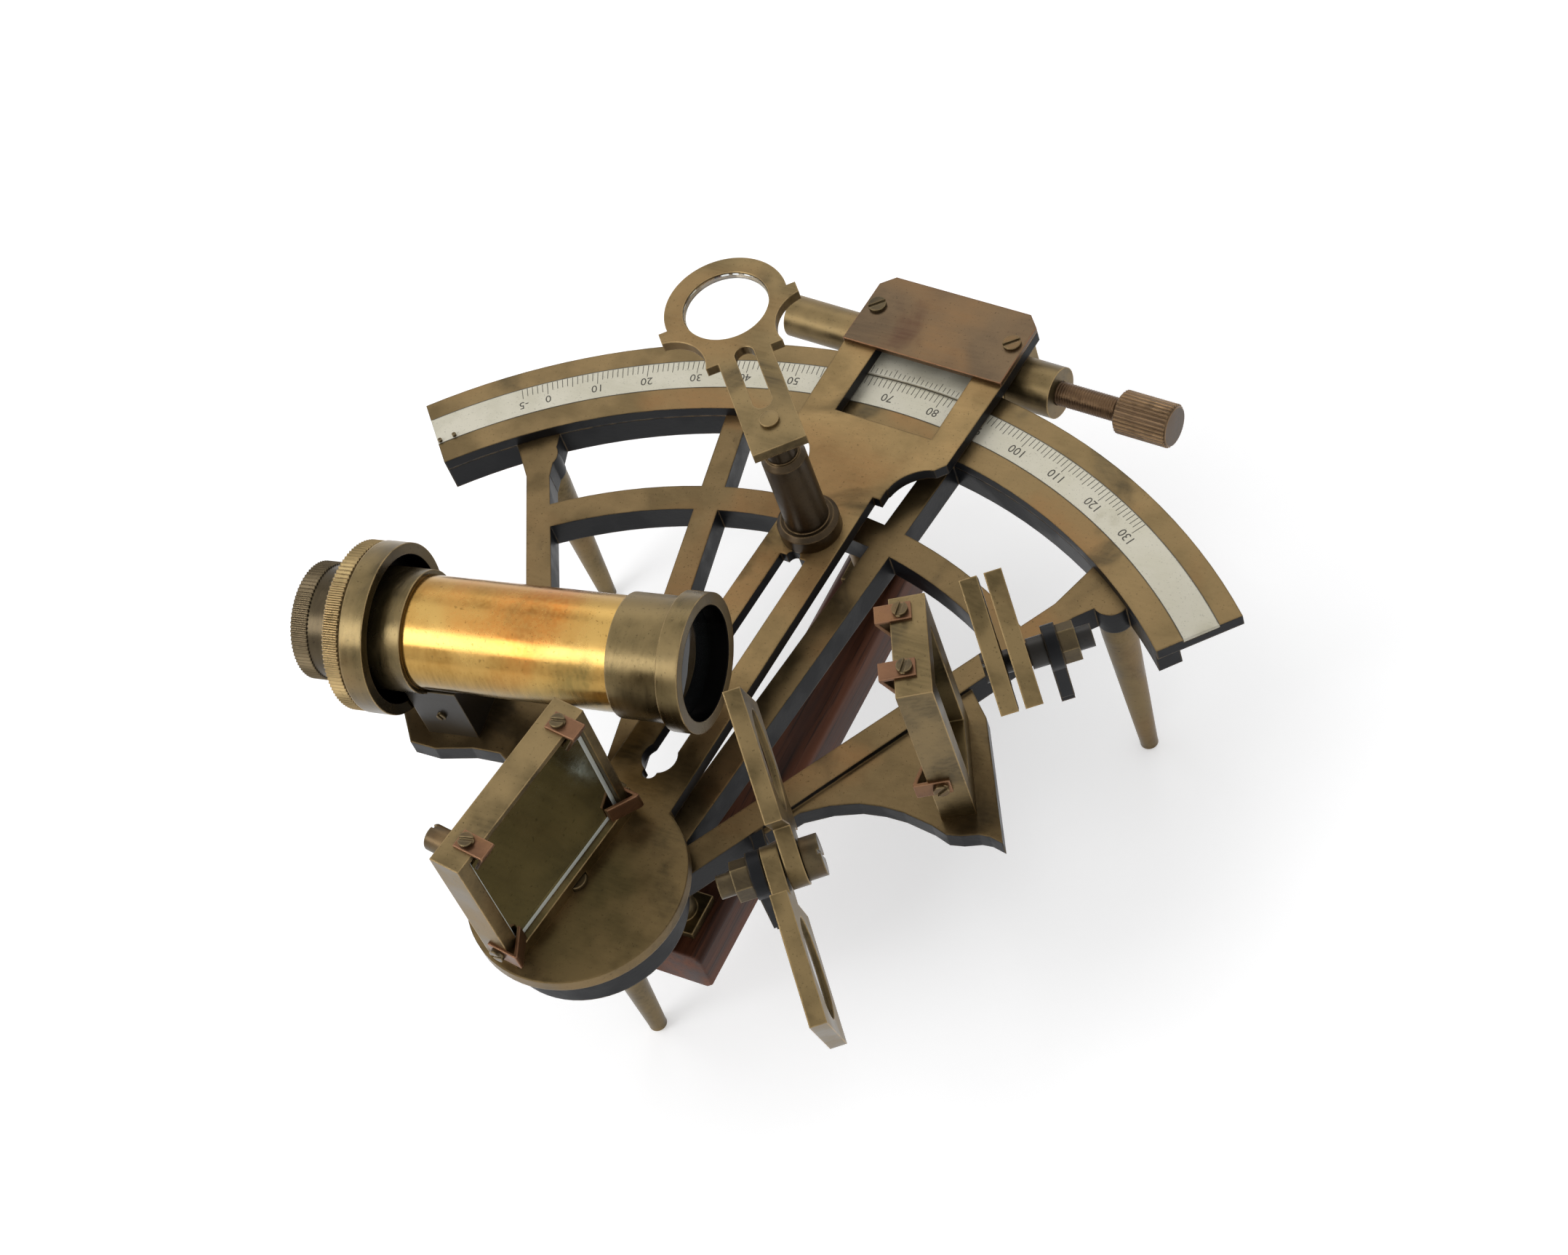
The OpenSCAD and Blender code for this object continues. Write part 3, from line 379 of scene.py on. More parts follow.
@dataclass(frozen=True)
class Brass:
    """Aged metal: a body colour with clouds, stains, specks, tool lines and rubbed edges."""

    name: str
    body: Colour
    cloud: Colour
    # The colour of stains, also used for the painted shade on faces that point down.
    stain: Colour
    edge: Colour
    smooth: float = 0.3
    rough: float = 0.5
    metallic: float = 0.9
    scale: float = 1.0
    lines: tuple[float, float, float] = (0.08, 1.0, 1.0)
    line_depth: float = 0.12
    wear: float = 0.45
    warm: Colour = (0.27, 0.14, 0.05)
    warmth: float = 0.3
    # Distances from the telescope's axis between which the metal is near-black: blacking, and
    # painted shade in those recesses.
    dark_bands: tuple[tuple[float, float], ...] = ()
    # How much painted shade darkens the faces that point down, towards the stain colour.
    under: float = 0.3

    def blacken(self, graph: Graph, groups: Groups, colour: Socket) -> Socket:
        """Blackens the bands between two distances from the telescope's axis: blacking, and painted
        shade in these recesses.

        Args:
            graph: The material's graph.
            groups: The shared node groups.
            colour: The metal's colour.

        Returns:
            The colour with the bands in it.
        """
        soft = 0.1
        # Each band is the blacking there and also painted shade in the recess.
        for low, high in self.dark_bands:
            radius = groups.use(graph, "bore")["Radius"]
            inside = graph.span(radius, (high - soft) * MM, (high + soft) * MM, (1.0, 0.0))
            outside = graph.span(radius, (low - soft) * MM, (low + soft) * MM)
            colour = graph.blend(graph.math("MULTIPLY", inside, outside), colour, BLACKING_AND_SHADE)
        return colour

    def make(self, groups: Groups) -> Material:
        """Builds the material.

        Args:
            groups: The shared node groups.

        Returns:
            The material.
        """
        material, graph, shader = new_material(self.name)
        patina = groups.use(graph, "patina", Scale=self.scale)
        edges = groups.use(graph, "edges", Radius=0.0006, Spread=self.wear)
        lines = groups.lines(graph, *self.lines)
        colour = graph.blend(patina["Clouds"], self.body, self.cloud)
        colour = graph.tint(colour, patina["Warm"], self.warmth, self.warm)
        colour = graph.tint(colour, patina["Stains"], 0.7, self.stain)
        # Painted shade: faces that point down are darkened towards the stain colour, by the share
        # under.
        up = graph.height(graph.node("TexCoord").outputs["Normal"])
        colour = graph.blend(graph.span(up, -0.4, 0.75, (self.under, 0.0)), colour, self.stain)
        colour = graph.tint(colour, patina["Specks"], SPECK_SHARE, toned(self.body, SPECK_TONE))
        colour = graph.tint(colour, graph.span(lines, 0.35, 0.65), 0.22, self.cloud)
        colour = graph.blend(edges["Mask"], colour, self.edge)
        tone = graph.weigh(patina["Clouds"], lines, 0.4)
        surface = graph.weigh(patina["Height"], lines, 0.5)
        graph.fill(shader, {
            "Base Color": self.blacken(graph, groups, colour),
            "Metallic": self.metallic,
            "Roughness": graph.span(tone, 0.0, 1.0, (self.smooth, self.rough)),
            "Normal": graph.relief(surface, self.line_depth, 0.0002, Normal=edges["Normal"]),
        })
        return material


@dataclass(frozen=True)
class PaintedCasting:
    """Black paint on the sides and below, rubbed through to brass on the top face and the edges."""

    name: str
    brass: Colour
    cloud: Colour
    # The colour of stains, also used for the painted shade near the pivot.
    stain: Colour
    tops: tuple[float, ...]
    bare_r: float = 0.0
    # Distances from the origin between which the painted shade on the disc fades out.
    tarnish: tuple[float, float] = (78.0, 100.0)

    def bare(self, graph: Graph) -> Socket:
        """Finds the bare brass: top faces at the given levels, and all inside the bare radius.

        Args:
            graph: The material's graph.

        Returns:
            A mask, 1 on bare brass and 0 on paint.
        """
        where = graph.node("TexCoord").outputs
        up = graph.span(graph.height(where["Normal"]), 0.6, 0.9)
        height = graph.height(where["Object"])
        away = graph.length(graph.vector("MULTIPLY", where["Object"], (1, 1, 0))[0])
        found = graph.span(away, self.bare_r * MM, (self.bare_r + 0.3) * MM, (1.0, 0.0))
        for top in self.tops:
            over = graph.span(height, (top - 0.3) * MM, (top - 0.1) * MM)
            under = graph.span(height, (top + 0.1) * MM, (top + 0.3) * MM, (1.0, 0.0))
            level = graph.math("MULTIPLY", up, graph.math("MULTIPLY", over, under))
            found = graph.math("MAXIMUM", found, level)
        return found

    def metal(self, graph: Graph, patina: Outputs, lines: Socket) -> Socket:
        """Gives the bare brass's colour, with painted shade that darkens it near the origin below
        the pivot.

        Args:
            graph: The material's graph.
            patina: The outputs of the patina group.
            lines: The tool lines.

        Returns:
            The colour.
        """
        metal = graph.blend(patina["Clouds"], self.brass, self.cloud)
        metal = graph.tint(metal, patina["Warm"], 0.4, WARM)
        metal = graph.tint(metal, patina["Stains"], 0.85, self.stain)
        metal = graph.tint(metal, patina["Specks"], SPECK_SHARE, toned(self.brass, SPECK_TONE))
        # Painted shade: the brass grows darker towards the origin below the pivot, on the disc.
        if self.bare_r:
            near, far = (distance * MM for distance in self.tarnish)
            away = graph.length(graph.node("TexCoord").outputs["Object"])
            metal = graph.blend(graph.span(away, near, far, (0.5, 0.0)), metal, self.stain)
        return graph.tint(metal, graph.span(lines, 0.35, 0.65), 0.2, toned(self.brass, 1.35))

    def make(self, groups: Groups) -> Material:
        """Builds the material.

        Args:
            groups: The shared node groups.

        Returns:
            The material.
        """
        material, graph, shader = new_material(self.name)
        patina = groups.use(graph, "patina", Scale=1.8)
        edges = groups.use(graph, "edges", Radius=0.0007, Spread=0.1)
        lines = groups.lines(graph, 0.25, 1.0, 1.0)
        chips = graph.math("MULTIPLY", edges["Mask"], 0.8)
        worn = graph.math("MAXIMUM", self.bare(graph), chips)
        paint_colour = graph.tint(BLACK_PAINT, patina["Clouds"], 0.5, toned(BLACK_PAINT, 1.7))
        surface = graph.weigh(patina["Height"], lines, 0.4)
        graph.fill(shader, {
            "Base Color": graph.blend(worn, paint_colour, self.metal(graph, patina, lines)),
            "Metallic": graph.math("MULTIPLY", worn, 0.9),
            "Roughness": graph.span(patina["Clouds"], 0.0, 1.0, (0.34, 0.5)),
            "Specular IOR Level": 0.2,
            "Normal": graph.relief(surface, 0.15, 0.0003, Normal=edges["Normal"]),
        })
        return material


@dataclass(frozen=True)
class Wood:
    """Oiled hardwood with its grain along Y."""

    name: str
    dark: Colour
    light: Colour

    def make(self, groups: Groups) -> Material:
        """Builds the material.

        Args:
            groups: The shared node groups.

        Returns:
            The material.
        """
        material, graph, shader = new_material(self.name)
        edges = groups.use(graph, "edges", Radius=0.0009, Spread=0.3)
        pores = groups.lines(graph, 1.0, 0.03, 1.0, scale=1400.0)
        figure = groups.lines(graph, 1.0, 0.09, 1.0, scale=170.0)
        colour = graph.blend(graph.span(figure, 0.3, 0.7), self.dark, self.light)
        colour = graph.tint(colour, graph.span(pores, 0.56, 0.68), 0.7, toned(self.dark, 0.35))
        colour = graph.tint(colour, edges["Mask"], 0.5, toned(self.light, 1.5))
        graph.fill(shader, {
            "Base Color": colour,
            "Roughness": graph.span(figure, 0.2, 0.8, (0.42, 0.6)),
            "Specular IOR Level": 0.25,
            "Normal": graph.relief(pores, 0.25, 0.0002, Normal=edges["Normal"]),
        })
        return material


@dataclass(frozen=True)
class Glass:
    """Glass, clear or dark, with faint dust and wipe marks."""

    name: str
    tone: Colour
    clear: float
    smooth: float = 0.02

    def make(self, groups: Groups) -> Material:
        """Builds the material.

        Args:
            groups: The shared node groups.

        Returns:
            The material.
        """
        material, graph, shader = new_material(self.name)
        patina = groups.use(graph, "patina", Scale=1.3)
        dusty = tuple(c * 0.8 + 0.1 for c in self.tone)
        graph.fill(shader, {
            "Base Color": graph.tint(self.tone, patina["Stains"], 0.25, dusty),
            "Roughness": graph.span(patina["Clouds"], 0.0, 1.0, (self.smooth, 0.1)),
            "Transmission Weight": self.clear,
            "IOR": 1.5,
            "Normal": graph.relief(patina["Height"], 0.02, 0.0001),
        })
        return material


def make_palette() -> Palette:
    """Builds the shared groups and every material.

    Returns:
        The materials by name.
    """
    groups = Groups(edge_group(), patina_group(), brushed_group(), bore_group())
    along_tube = (0.97, 0.25, 0.02)
    # The bore and the ring's recess: blacking, and painted shade in these recesses.
    bore = (0.5, 14.9)
    ring_recess = (16.4, 19.8)
    turned = Brass(
        "turned_brass", srgb(94, 81, 54), srgb(130, 112, 77), srgb(58, 51, 38), RUBBED,
        smooth=0.22, rough=0.42, scale=1.5, lines=along_tube, line_depth=0.2, under=0.6,
    )
    # In each Brass, under is how much painted shade darkens the faces that point down.
    finishes = (
        Brass("aged_brass", OLIVE, OLIVE_LIGHT, OLIVE_DARK, RUBBED, scale=1.7),
        replace(turned, name="ring_brass", dark_bands=(bore, ring_recess)),
        replace(turned, name="cell_brass", dark_bands=(bore,)),
        Brass(
            "polished_brass",
            srgb(164, 124, 62), srgb(190, 154, 88), srgb(104, 94, 56), srgb(232, 198, 120),
            smooth=0.12, rough=0.32, metallic=1.0, scale=1.4, lines=(1.0, 1.0, 0.1),
            line_depth=0.06, warm=srgb(186, 112, 46), warmth=0.7, under=0.85,
        ),
        Brass(
            "eyepiece_brass",
            srgb(68, 59, 44), srgb(92, 80, 59), srgb(46, 40, 31), srgb(126, 110, 84),
            smooth=0.25, rough=0.45, lines=along_tube, line_depth=0.2, under=0.8,
        ),
        Brass(
            "browned_pillar",
            srgb(61, 50, 36), srgb(80, 66, 48), srgb(42, 36, 29), srgb(128, 106, 76),
            smooth=0.28, rough=0.48, scale=2.0,
        ),
        PaintedCasting(
            "painted_arm", srgb(114, 95, 63), srgb(158, 132, 90), srgb(62, 54, 38), (75.5,), 29.5
        ),
        Brass(
            "screw_brass",
            srgb(74, 64, 48), srgb(98, 85, 62), srgb(48, 44, 37), srgb(146, 127, 92),
            smooth=0.28, rough=0.5, scale=3.0,
        ),
        PaintedCasting(
            "painted_casting", srgb(96, 80, 54), srgb(128, 107, 74), srgb(60, 52, 40), (67.5, 66.0)
        ),
        PaintedCasting(
            "painted_limb", srgb(108, 91, 62), srgb(140, 118, 82), srgb(74, 66, 50), (71.0,)
        ),
        Brass(
            "blackened_brass",
            srgb(30, 28, 26), srgb(46, 42, 36), srgb(26, 25, 26), srgb(110, 94, 66),
            smooth=0.3, rough=0.45, metallic=0.4,
        ),
        Brass(
            "silvered_brass",
            srgb(188, 183, 164), srgb(204, 199, 182), srgb(164, 158, 134), srgb(210, 206, 194),
            smooth=0.4, rough=0.6, metallic=0.35, scale=2.2, line_depth=0.05, wear=0.1,
            warmth=0.0,
        ),
        Brass(
            "copper",
            srgb(104, 75, 55), srgb(126, 92, 68), srgb(74, 54, 42), srgb(168, 126, 96),
            smooth=0.3, rough=0.5, scale=3.0,
        ),
        Brass(
            "browned_brass",
            srgb(80, 66, 50), srgb(110, 91, 68), srgb(70, 47, 36), srgb(156, 112, 82),
            smooth=0.26, rough=0.46, scale=1.6,
        ),
        Brass(
            "coppery_brass",
            srgb(72, 58, 44), srgb(98, 79, 60), srgb(46, 37, 29), srgb(158, 128, 94),
            smooth=0.28, rough=0.48, scale=2.0,
        ),
        Brass(
            "dark_thread",
            srgb(62, 48, 37), srgb(84, 66, 50), srgb(40, 32, 26), srgb(134, 106, 78),
            smooth=0.3, rough=0.45, scale=2.0,
        ),
        Wood("mahogany", srgb(56, 30, 19), srgb(106, 61, 38)),
        Brass(
            "engraving",
            srgb(78, 76, 68), srgb(94, 91, 82), srgb(66, 64, 56), srgb(94, 91, 82),
            smooth=0.6, rough=0.8, metallic=0.0, scale=4.0, warmth=0.0,
        ),
        Glass("dark_glass", srgb(15, 18, 20), 0.0),
        Glass("clear_glass", srgb(250, 252, 250), 1.0),
        Brass(
            "silvered_glass",
            srgb(180, 190, 174), srgb(198, 206, 190), srgb(138, 146, 124), srgb(206, 212, 200),
            smooth=0.04, rough=0.12, metallic=1.0, line_depth=0.0, wear=0.0, warmth=0.0,
            under=0.0,
        ),
        # Pale ground glass at the mirrors' edges, also a painted highlight on the sunk border of
        # their front faces.
        Glass("ground_edge_and_highlight", srgb(222, 228, 222), 0.0, 0.3),
    )
    return {finish.name: finish.make(groups) for finish in finishes}


# Modelling helpers


def clear_selection() -> None:
    """Leaves edit mode and deselects every object."""
    if bpy.context.object and bpy.context.object.mode != "OBJECT":
        bpy.ops.object.mode_set(mode="OBJECT")
    bpy.ops.object.select_all(action="DESELECT")


def work_on(obj: Object) -> None:
    """Makes one object the only selected and active one.

    Args:
        obj: The object.
    """
    clear_selection()
    obj.select_set(True)
    bpy.context.view_layer.objects.active = obj


def settle(obj: Object) -> None:
    """Moves an object's place, turn and scale into its mesh."""
    work_on(obj)
    bpy.ops.object.transform_apply(location=True, rotation=True, scale=True)


def edit(obj: Object) -> None:
    """Starts edit mode on one object."""
    work_on(obj)
    bpy.ops.object.mode_set(mode="EDIT")


def pick(obj: Object, kind: Element, test: Callable[[Vector, Vector], bool]) -> None:
    """Selects in edit mode the elements that pass a test.

    Args:
        obj: The object in edit mode.
        kind: Vertices, edges or faces.
        test: Says yes for an element's middle and its normal or direction, in metres.
    """
    mode, group = kind.value
    bpy.ops.mesh.select_mode(type=mode)
    bpy.ops.mesh.select_all(action="DESELECT")
    mesh = bmesh.from_edit_mesh(obj.data)
    for item in getattr(mesh, group):
        if kind is Element.VERTEX:
            found = test(item.co, item.normal)
        elif kind is Element.EDGE:
            a, b = (v.co for v in item.verts)
            found = test((a + b) / 2, (b - a).normalized())
        else:
            found = test(item.calc_center_median(), item.normal)
        if found:
            item.select_set(True)
    bmesh.update_edit_mesh(obj.data)


def close_up(obj: Object, angle: float = SMOOTH_ANGLE) -> None:
    """Merges doubles, turns the faces outwards and shades the round parts smooth.

    Args:
        obj: The object, in edit mode. It is not used: the operators work on the active object.
        angle: The sharpest bend between faces that is shaded smooth, in degrees.
    """
    bpy.ops.mesh.select_all(action="SELECT")
    bpy.ops.mesh.remove_doubles(threshold=NEAR)
    bpy.ops.mesh.normals_make_consistent(inside=False)
    bpy.ops.object.mode_set(mode="OBJECT")
    bpy.ops.object.shade_smooth_by_angle(angle=math.radians(angle))


def add_box(name: str, low: Vector, high: Vector) -> Object:
    """Adds a box between two corners.

    Args:
        name: The object's name.
        low: Its lowest corner.
        high: Its highest corner.

    Returns:
        The box.
    """
    clear_selection()
    bpy.ops.mesh.primitive_cube_add(size=1, location=(low + high) / 2 * MM)
    obj = bpy.context.object
    obj.name = name
    obj.scale = (high - low) * MM
    settle(obj)
    return obj


def add_cylinder(
    name: str, radius: float, low: float, high: float, sides: int, ends: str = "NGON"
) -> Object:
    """Adds a cylinder along Z.

    Args:
        name: The object's name.
        radius: Its radius.
        low: Its lower end.
        high: Its upper end.
        sides: How many sides it has.
        ends: NGON for closed ends, NOTHING for open ones.

    Returns:
        The cylinder.
    """
    clear_selection()
    bpy.ops.mesh.primitive_cylinder_add(
        vertices=sides, radius=radius * MM, depth=(high - low) * MM,
        location=(0, 0, (low + high) / 2 * MM), end_fill_type=ends,
    )
    obj = bpy.context.object
    obj.name = name
    settle(obj)
    return obj


def bevel(obj: Object, width: float, steps: int) -> None:
    """Rounds an object's sharp edges with an applied modifier.

    Args:
        obj: The object.
        width: The width of the rounding.
        steps: How many faces go round each edge.
    """
    work_on(obj)
    bpy.ops.object.modifier_add(type="BEVEL")
    modifier = obj.modifiers[-1]
    modifier.width = width * MM
    modifier.segments = steps
    modifier.limit_method = "ANGLE"
    modifier.angle_limit = math.radians(30)
    bpy.ops.object.modifier_apply(modifier=modifier.name)
    bpy.ops.object.shade_smooth_by_angle(angle=math.radians(SMOOTH_ANGLE))


def join(parts: list[Object], name: str) -> Object:
    """Joins objects into one.

    Args:
        parts: The objects. The first one stays and takes in the rest.
        name: The joined object's name.

    Returns:
        The joined object.
    """
    clear_selection()
    for part in parts:
        part.select_set(True)
    bpy.context.view_layer.objects.active = parts[0]
    bpy.ops.object.join()
    parts[0].name = name
    parts[0].data.name = name
    return parts[0]


def copy_of(obj: Object, place: Matrix) -> Object:
    """Copies an object with its own mesh.

    Args:
        obj: The object to copy.
        place: The copy's place.

    Returns:
        The copy.
    """
    made = obj.copy()
    made.data = obj.data.copy()
    bpy.context.scene.collection.objects.link(made)
    made.matrix_world = place
    return made


def hand_over(obj: Object, place: Matrix, body: str, finish: Material) -> Object:
    """Puts a finished piece in its place, gives it its finish and sets it on its body.

    Args:
        obj: The piece, in its local frame.
        place: The local frame.
        body: The CAD body that it moves with.
        finish: Its material, unless it already has its own.

    Returns:
        The piece.
    """
    obj.matrix_world = place @ obj.matrix_world
    settle(obj)
    if not obj.data.materials:
        obj.data.materials.append(finish)
    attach(obj, body)
    LOG.info("%s: %d faces on %s", obj.name, len(obj.data.polygons), body)
    return obj


CAD_FINISHES = {
    "painted_casting": ("frame",),
    "painted_limb": ("limb",),
    "painted_arm": ("index_arm",),
    "aged_brass": (
        "leg_left", "leg_right", "leg_pivot", "handle_bracket_near", "handle_bracket_far",
        "index_mirror_block", "horizon_mirror_block", "index_shade_upper", "index_shade_lower",
        "horizon_shade_outer", "horizon_shade_inner", "screw_housing", "spring_barrel",
        "tangent_collar", "magnifier_arm",
    ),
    "screw_brass": (
        "stop_pins", "handle_screws", "bracket_screw", "pivot_screw", "index_mirror_screws",
        "horizon_mirror_screws", "mirror_adjuster", "index_shade_bolt", "index_shade_nut",
        "horizon_shade_nut", "cover_screws", "clamp_screw",
    ),
    "ring_brass": ("telescope_ring",),
    "cell_brass": ("objective_cell",),
    "eyepiece_brass": ("eyepiece",),
    "polished_brass": ("telescope_tube",),
    "blackened_brass": ("telescope_bracket", "horizon_shade_bolt"),
    "silvered_brass": ("scale_strip", "vernier_plate"),
    "copper": ("index_mirror_clips", "horizon_mirror_clips"),
    "browned_brass": ("cover_plate",),
    "browned_pillar": ("magnifier_pillar",),
    "dark_glass": (
        "eye_lens", "index_glass_upper", "index_glass_lower", "horizon_glass_outer",
        "horizon_glass_inner",
    ),
}


def paint_nodes(palette: Palette) -> None:
    """Gives the CAD nodes their finishes, in the material slots of their objects.

    Args:
        palette: The materials by name.
    """
    for finish, names in CAD_FINISHES.items():
        for name in names:
            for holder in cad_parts[name].material_slots:
                holder.link = "OBJECT"
                holder.material = palette[finish]
            LOG.info("%s: %s", name, finish)


@dataclass
class KnurledBand:
    """A ring with fine ridges that sits round a turned piece and a little way into it."""

    name: str
    radius: float
    proud: float
    low: float
    high: float
    ridges: int
    sunk: float = 1.0
    lift: float = 0.05

    def build(self) -> Object:
        """Builds the ring.

        Returns:
            The ring, in the frame of the piece that it sits on.
        """
        inner, root, crest = (self.radius + x for x in (-self.sunk, self.lift, self.proud))
        sides = self.ridges * 2
        obj = add_cylinder(self.name, root, self.low, self.high, sides, "NOTHING")
        edit(obj)
        step = 2 * math.pi / sides
        pick(obj, Element.VERTEX, lambda p, n: round(math.atan2(p.y, p.x) / step) % 2 == 0)
        grow = crest / root
        bpy.ops.transform.resize(value=(grow, grow, 1))
        draw_in = inner / root
        for z in (self.low, self.high):
            pick(obj, Element.EDGE, lambda p, d: abs(p.z - z * MM) < NEAR)
            bpy.ops.mesh.extrude_edges_move()
            bpy.ops.transform.resize(value=(draw_in, draw_in, 1))
        limit = (inner * grow + root) / 2 * MM
        pick(obj, Element.EDGE, lambda p, d: p.xy.length < limit and self.is_rim(p, d))
        bpy.ops.mesh.bridge_edge_loops()
        close_up(obj, 20.0)
        return obj

    def is_rim(self, middle: Vector, way: Vector) -> bool:
        """Says if an edge lies level and runs round the ring, not in towards its middle."""
        return abs(way.z) < NEAR and abs(middle.xy.normalized().dot(way.xy)) < 0.7


@dataclass
class Graduations:
    """The engraved marks and numbers on the silvered arc and on the vernier."""

    outer_r: float = 173.7
    inner_r: float = 163.9
    top: float = 71.0
    proud: float = 0.03
    line: float = 0.19
    gap: float = 0.25
    border_from: float = 44.8
    border_to: float = 134.0
    number_r: float = 167.6
    number_size: float = 3.7
    first: int = -5
    middle: int = 65
    last: int = 130
    vernier_top: float = 72.0
    vernier_line: float = 0.18
    vernier_step: float = 0.475
    vernier_marks_each_way: int = 10

    def angle(self, mark: float) -> float:
        """Gives the angle round the pivot of a mark on the scale, in degrees."""
        return 90 - (mark - self.middle) / 2

    def mark_length(self, mark: int) -> float:
        """Gives a mark's length: ones are short, fives longer and tens the longest.

        Args:
            mark: The mark's number on the scale.

        Returns:
            The length.
        """
        if mark % 10 == 0:
            return 4.2
        return 3.5 if mark % 5 == 0 else 2.9

    def lay_out(self, name: str, line: float, top: float, places: list[Point]) -> Object:
        """Copies one mark to many places and returns the copies joined.

        Args:
            name: The joined object's name.
            line: The width of a mark.
            top: The height of the surface that the marks lie on.
            places: Each mark's angle in degrees, the radius of its inner end and its length.

        Returns:
            The joined marks.
        """
        low = Vector((0, -line / 2, top - self.proud))
        seed = add_box("mark", low, Vector((1, line / 2, top + self.proud)))
        parts = [
            copy_of(seed, turn(angle) @ shift(radius, 0, 0) @ Matrix.Diagonal((length, 1, 1, 1)))
            for angle, radius, length in places
        ]
        bpy.data.objects.remove(seed)
        return join(parts, name)

    def marks(self) -> Object:
        """Builds a mark at every degree of the scale.

        Returns:
            The marks, joined.
        """
        places = []
        for mark in range(self.first, self.last + 1):
            length = self.mark_length(mark)
            places.append((self.angle(mark), self.outer_r - self.gap - length, length))
        return self.lay_out("scale_marks", self.line, self.top, places)

    def vernier_marks(self) -> Object:
        """Builds the fine marks of the vernier.

        Returns:
            The marks, joined.
        """
        each_way = self.vernier_marks_each_way
        places = []
        for mark in range(-each_way, each_way + 1):
            length = 2.6 if mark % 5 == 0 else 1.8
            places.append((90 + mark * self.vernier_step, self.outer_r + self.gap, length))
        return self.lay_out("vernier_marks", self.vernier_line, self.vernier_top, places)

    def border(self, radius: float, name: str) -> Object:
        """Builds a thin line along a long edge of the scale by spinning a small box's end.

        Args:
            radius: The line's distance from the pivot.
            name: The object's name.

        Returns:
            The line.
        """
        half, thin = self.line / 2, 0.05
        low = Vector((radius - half, -thin, self.top - self.proud))
        obj = add_box(name, low, Vector((radius + half, thin, self.top + self.proud)))
        obj.matrix_world = turn(self.border_from)
        settle(obj)
        edit(obj)
        away = turn(self.border_from) @ Vector((0, 1, 0))
        pick(obj, Element.FACE, lambda p, n: n.dot(away) > 0.9)
        swept = math.radians(self.border_to - self.border_from)
        bpy.ops.mesh.spin(
            steps=90, angle=-swept, center=(0, 0, 0), axis=(0, 0, 1), use_auto_merge=False
        )
        close_up(obj)
        return obj

    def numbers(self) -> Object:
        """Builds the numbers of the scale as thin meshes and returns them joined."""
        marks = [self.first, *range(0, self.last + 1, 10)]
        return join([self.number(mark) for mark in marks], "scale_numbers")

    def number(self, mark: int) -> Object:
        """Builds one number at its mark, its top towards the pivot.

        Args:
            mark: The number, which is also its place on the scale.

        Returns:
            The number, as a thin mesh.
        """
        clear_selection()
        bpy.ops.object.text_add()
        obj = bpy.context.object
        obj.data.body = str(mark)
        obj.data.size = self.number_size * MM
        obj.data.align_x = "CENTER"
        obj.data.align_y = "CENTER"
        obj.data.extrude = self.proud * MM
        obj.data.resolution_u = 3
        bpy.ops.object.convert(target="MESH")
        angle = self.angle(mark)
        obj.matrix_world = turn(angle) @ shift(self.number_r, 0, self.top) @ turn(90)
        settle(obj)
        return obj

    def build(self, palette: Palette) -> None:
        """Builds the marks, numbers and borders.

        Args:
            palette: The materials by name.
        """
        still = Matrix.Identity(4)
        outer = self.border(self.outer_r, "scale_outer_line")
        inner = self.border(self.inner_r, "scale_inner_line")
        for piece in (self.marks(), self.numbers(), outer, inner):
            hand_over(piece, still, "stand", palette["engraving"])
        hand_over(self.vernier_marks(), ARM, "index_arm", palette["engraving"])


@dataclass
class Handle:
    """The wooden hand grip under the frame."""

    low: Point = (6.0, 2.0, 31.5)
    high: Point = (26.0, 134.0, 47.0)
    chamfer: float = 2.0
    end_round: float = 0.6

    def build(self, palette: Palette) -> None:
        """Builds the grip with chamfered sides and softened ends.

        Args:
            palette: The materials by name.
        """
        obj = add_box("handle_wood", Vector(self.low), Vector(self.high))
        edit(obj)
        pick(obj, Element.EDGE, lambda p, d: abs(d.y) > 0.9)
        bpy.ops.mesh.bevel(offset=self.chamfer * MM, segments=1, affect="EDGES")
        bpy.ops.object.mode_set(mode="OBJECT")
        bevel(obj, self.end_round, 3)
        hand_over(obj, Matrix.Identity(4), "stand", palette["mahogany"])
        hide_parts("handle")


@dataclass
class Lens:
    """A lens with a domed face, its flat face at z = low."""

    name: str
    radius: float
    low: float
    edge: float
    rise: float
    rings: int = 7

    def build(self) -> Object:
        """Builds the lens from a disc whose upper face is inset and raised ring by ring.

        Returns:
            The lens, in the frame of the piece that holds it.
        """
        obj = add_cylinder(self.name, self.radius, self.low, self.low + self.edge, 72)
        edit(obj)
        top = (self.low + self.edge) * MM
        pick(obj, Element.FACE, lambda p, n: n.z > 0.9 and abs(p.z - top) < NEAR)
        width = self.radius / (self.rings + 1)
        before = 0.0
        for ring in range(1, self.rings + 1):
            height = self.rise * (1 - (1 - ring * width / self.radius) ** 2)
            bpy.ops.mesh.inset(thickness=width * MM, depth=(height - before) * MM)
            before = height
        close_up(obj, 40.0)
        return obj


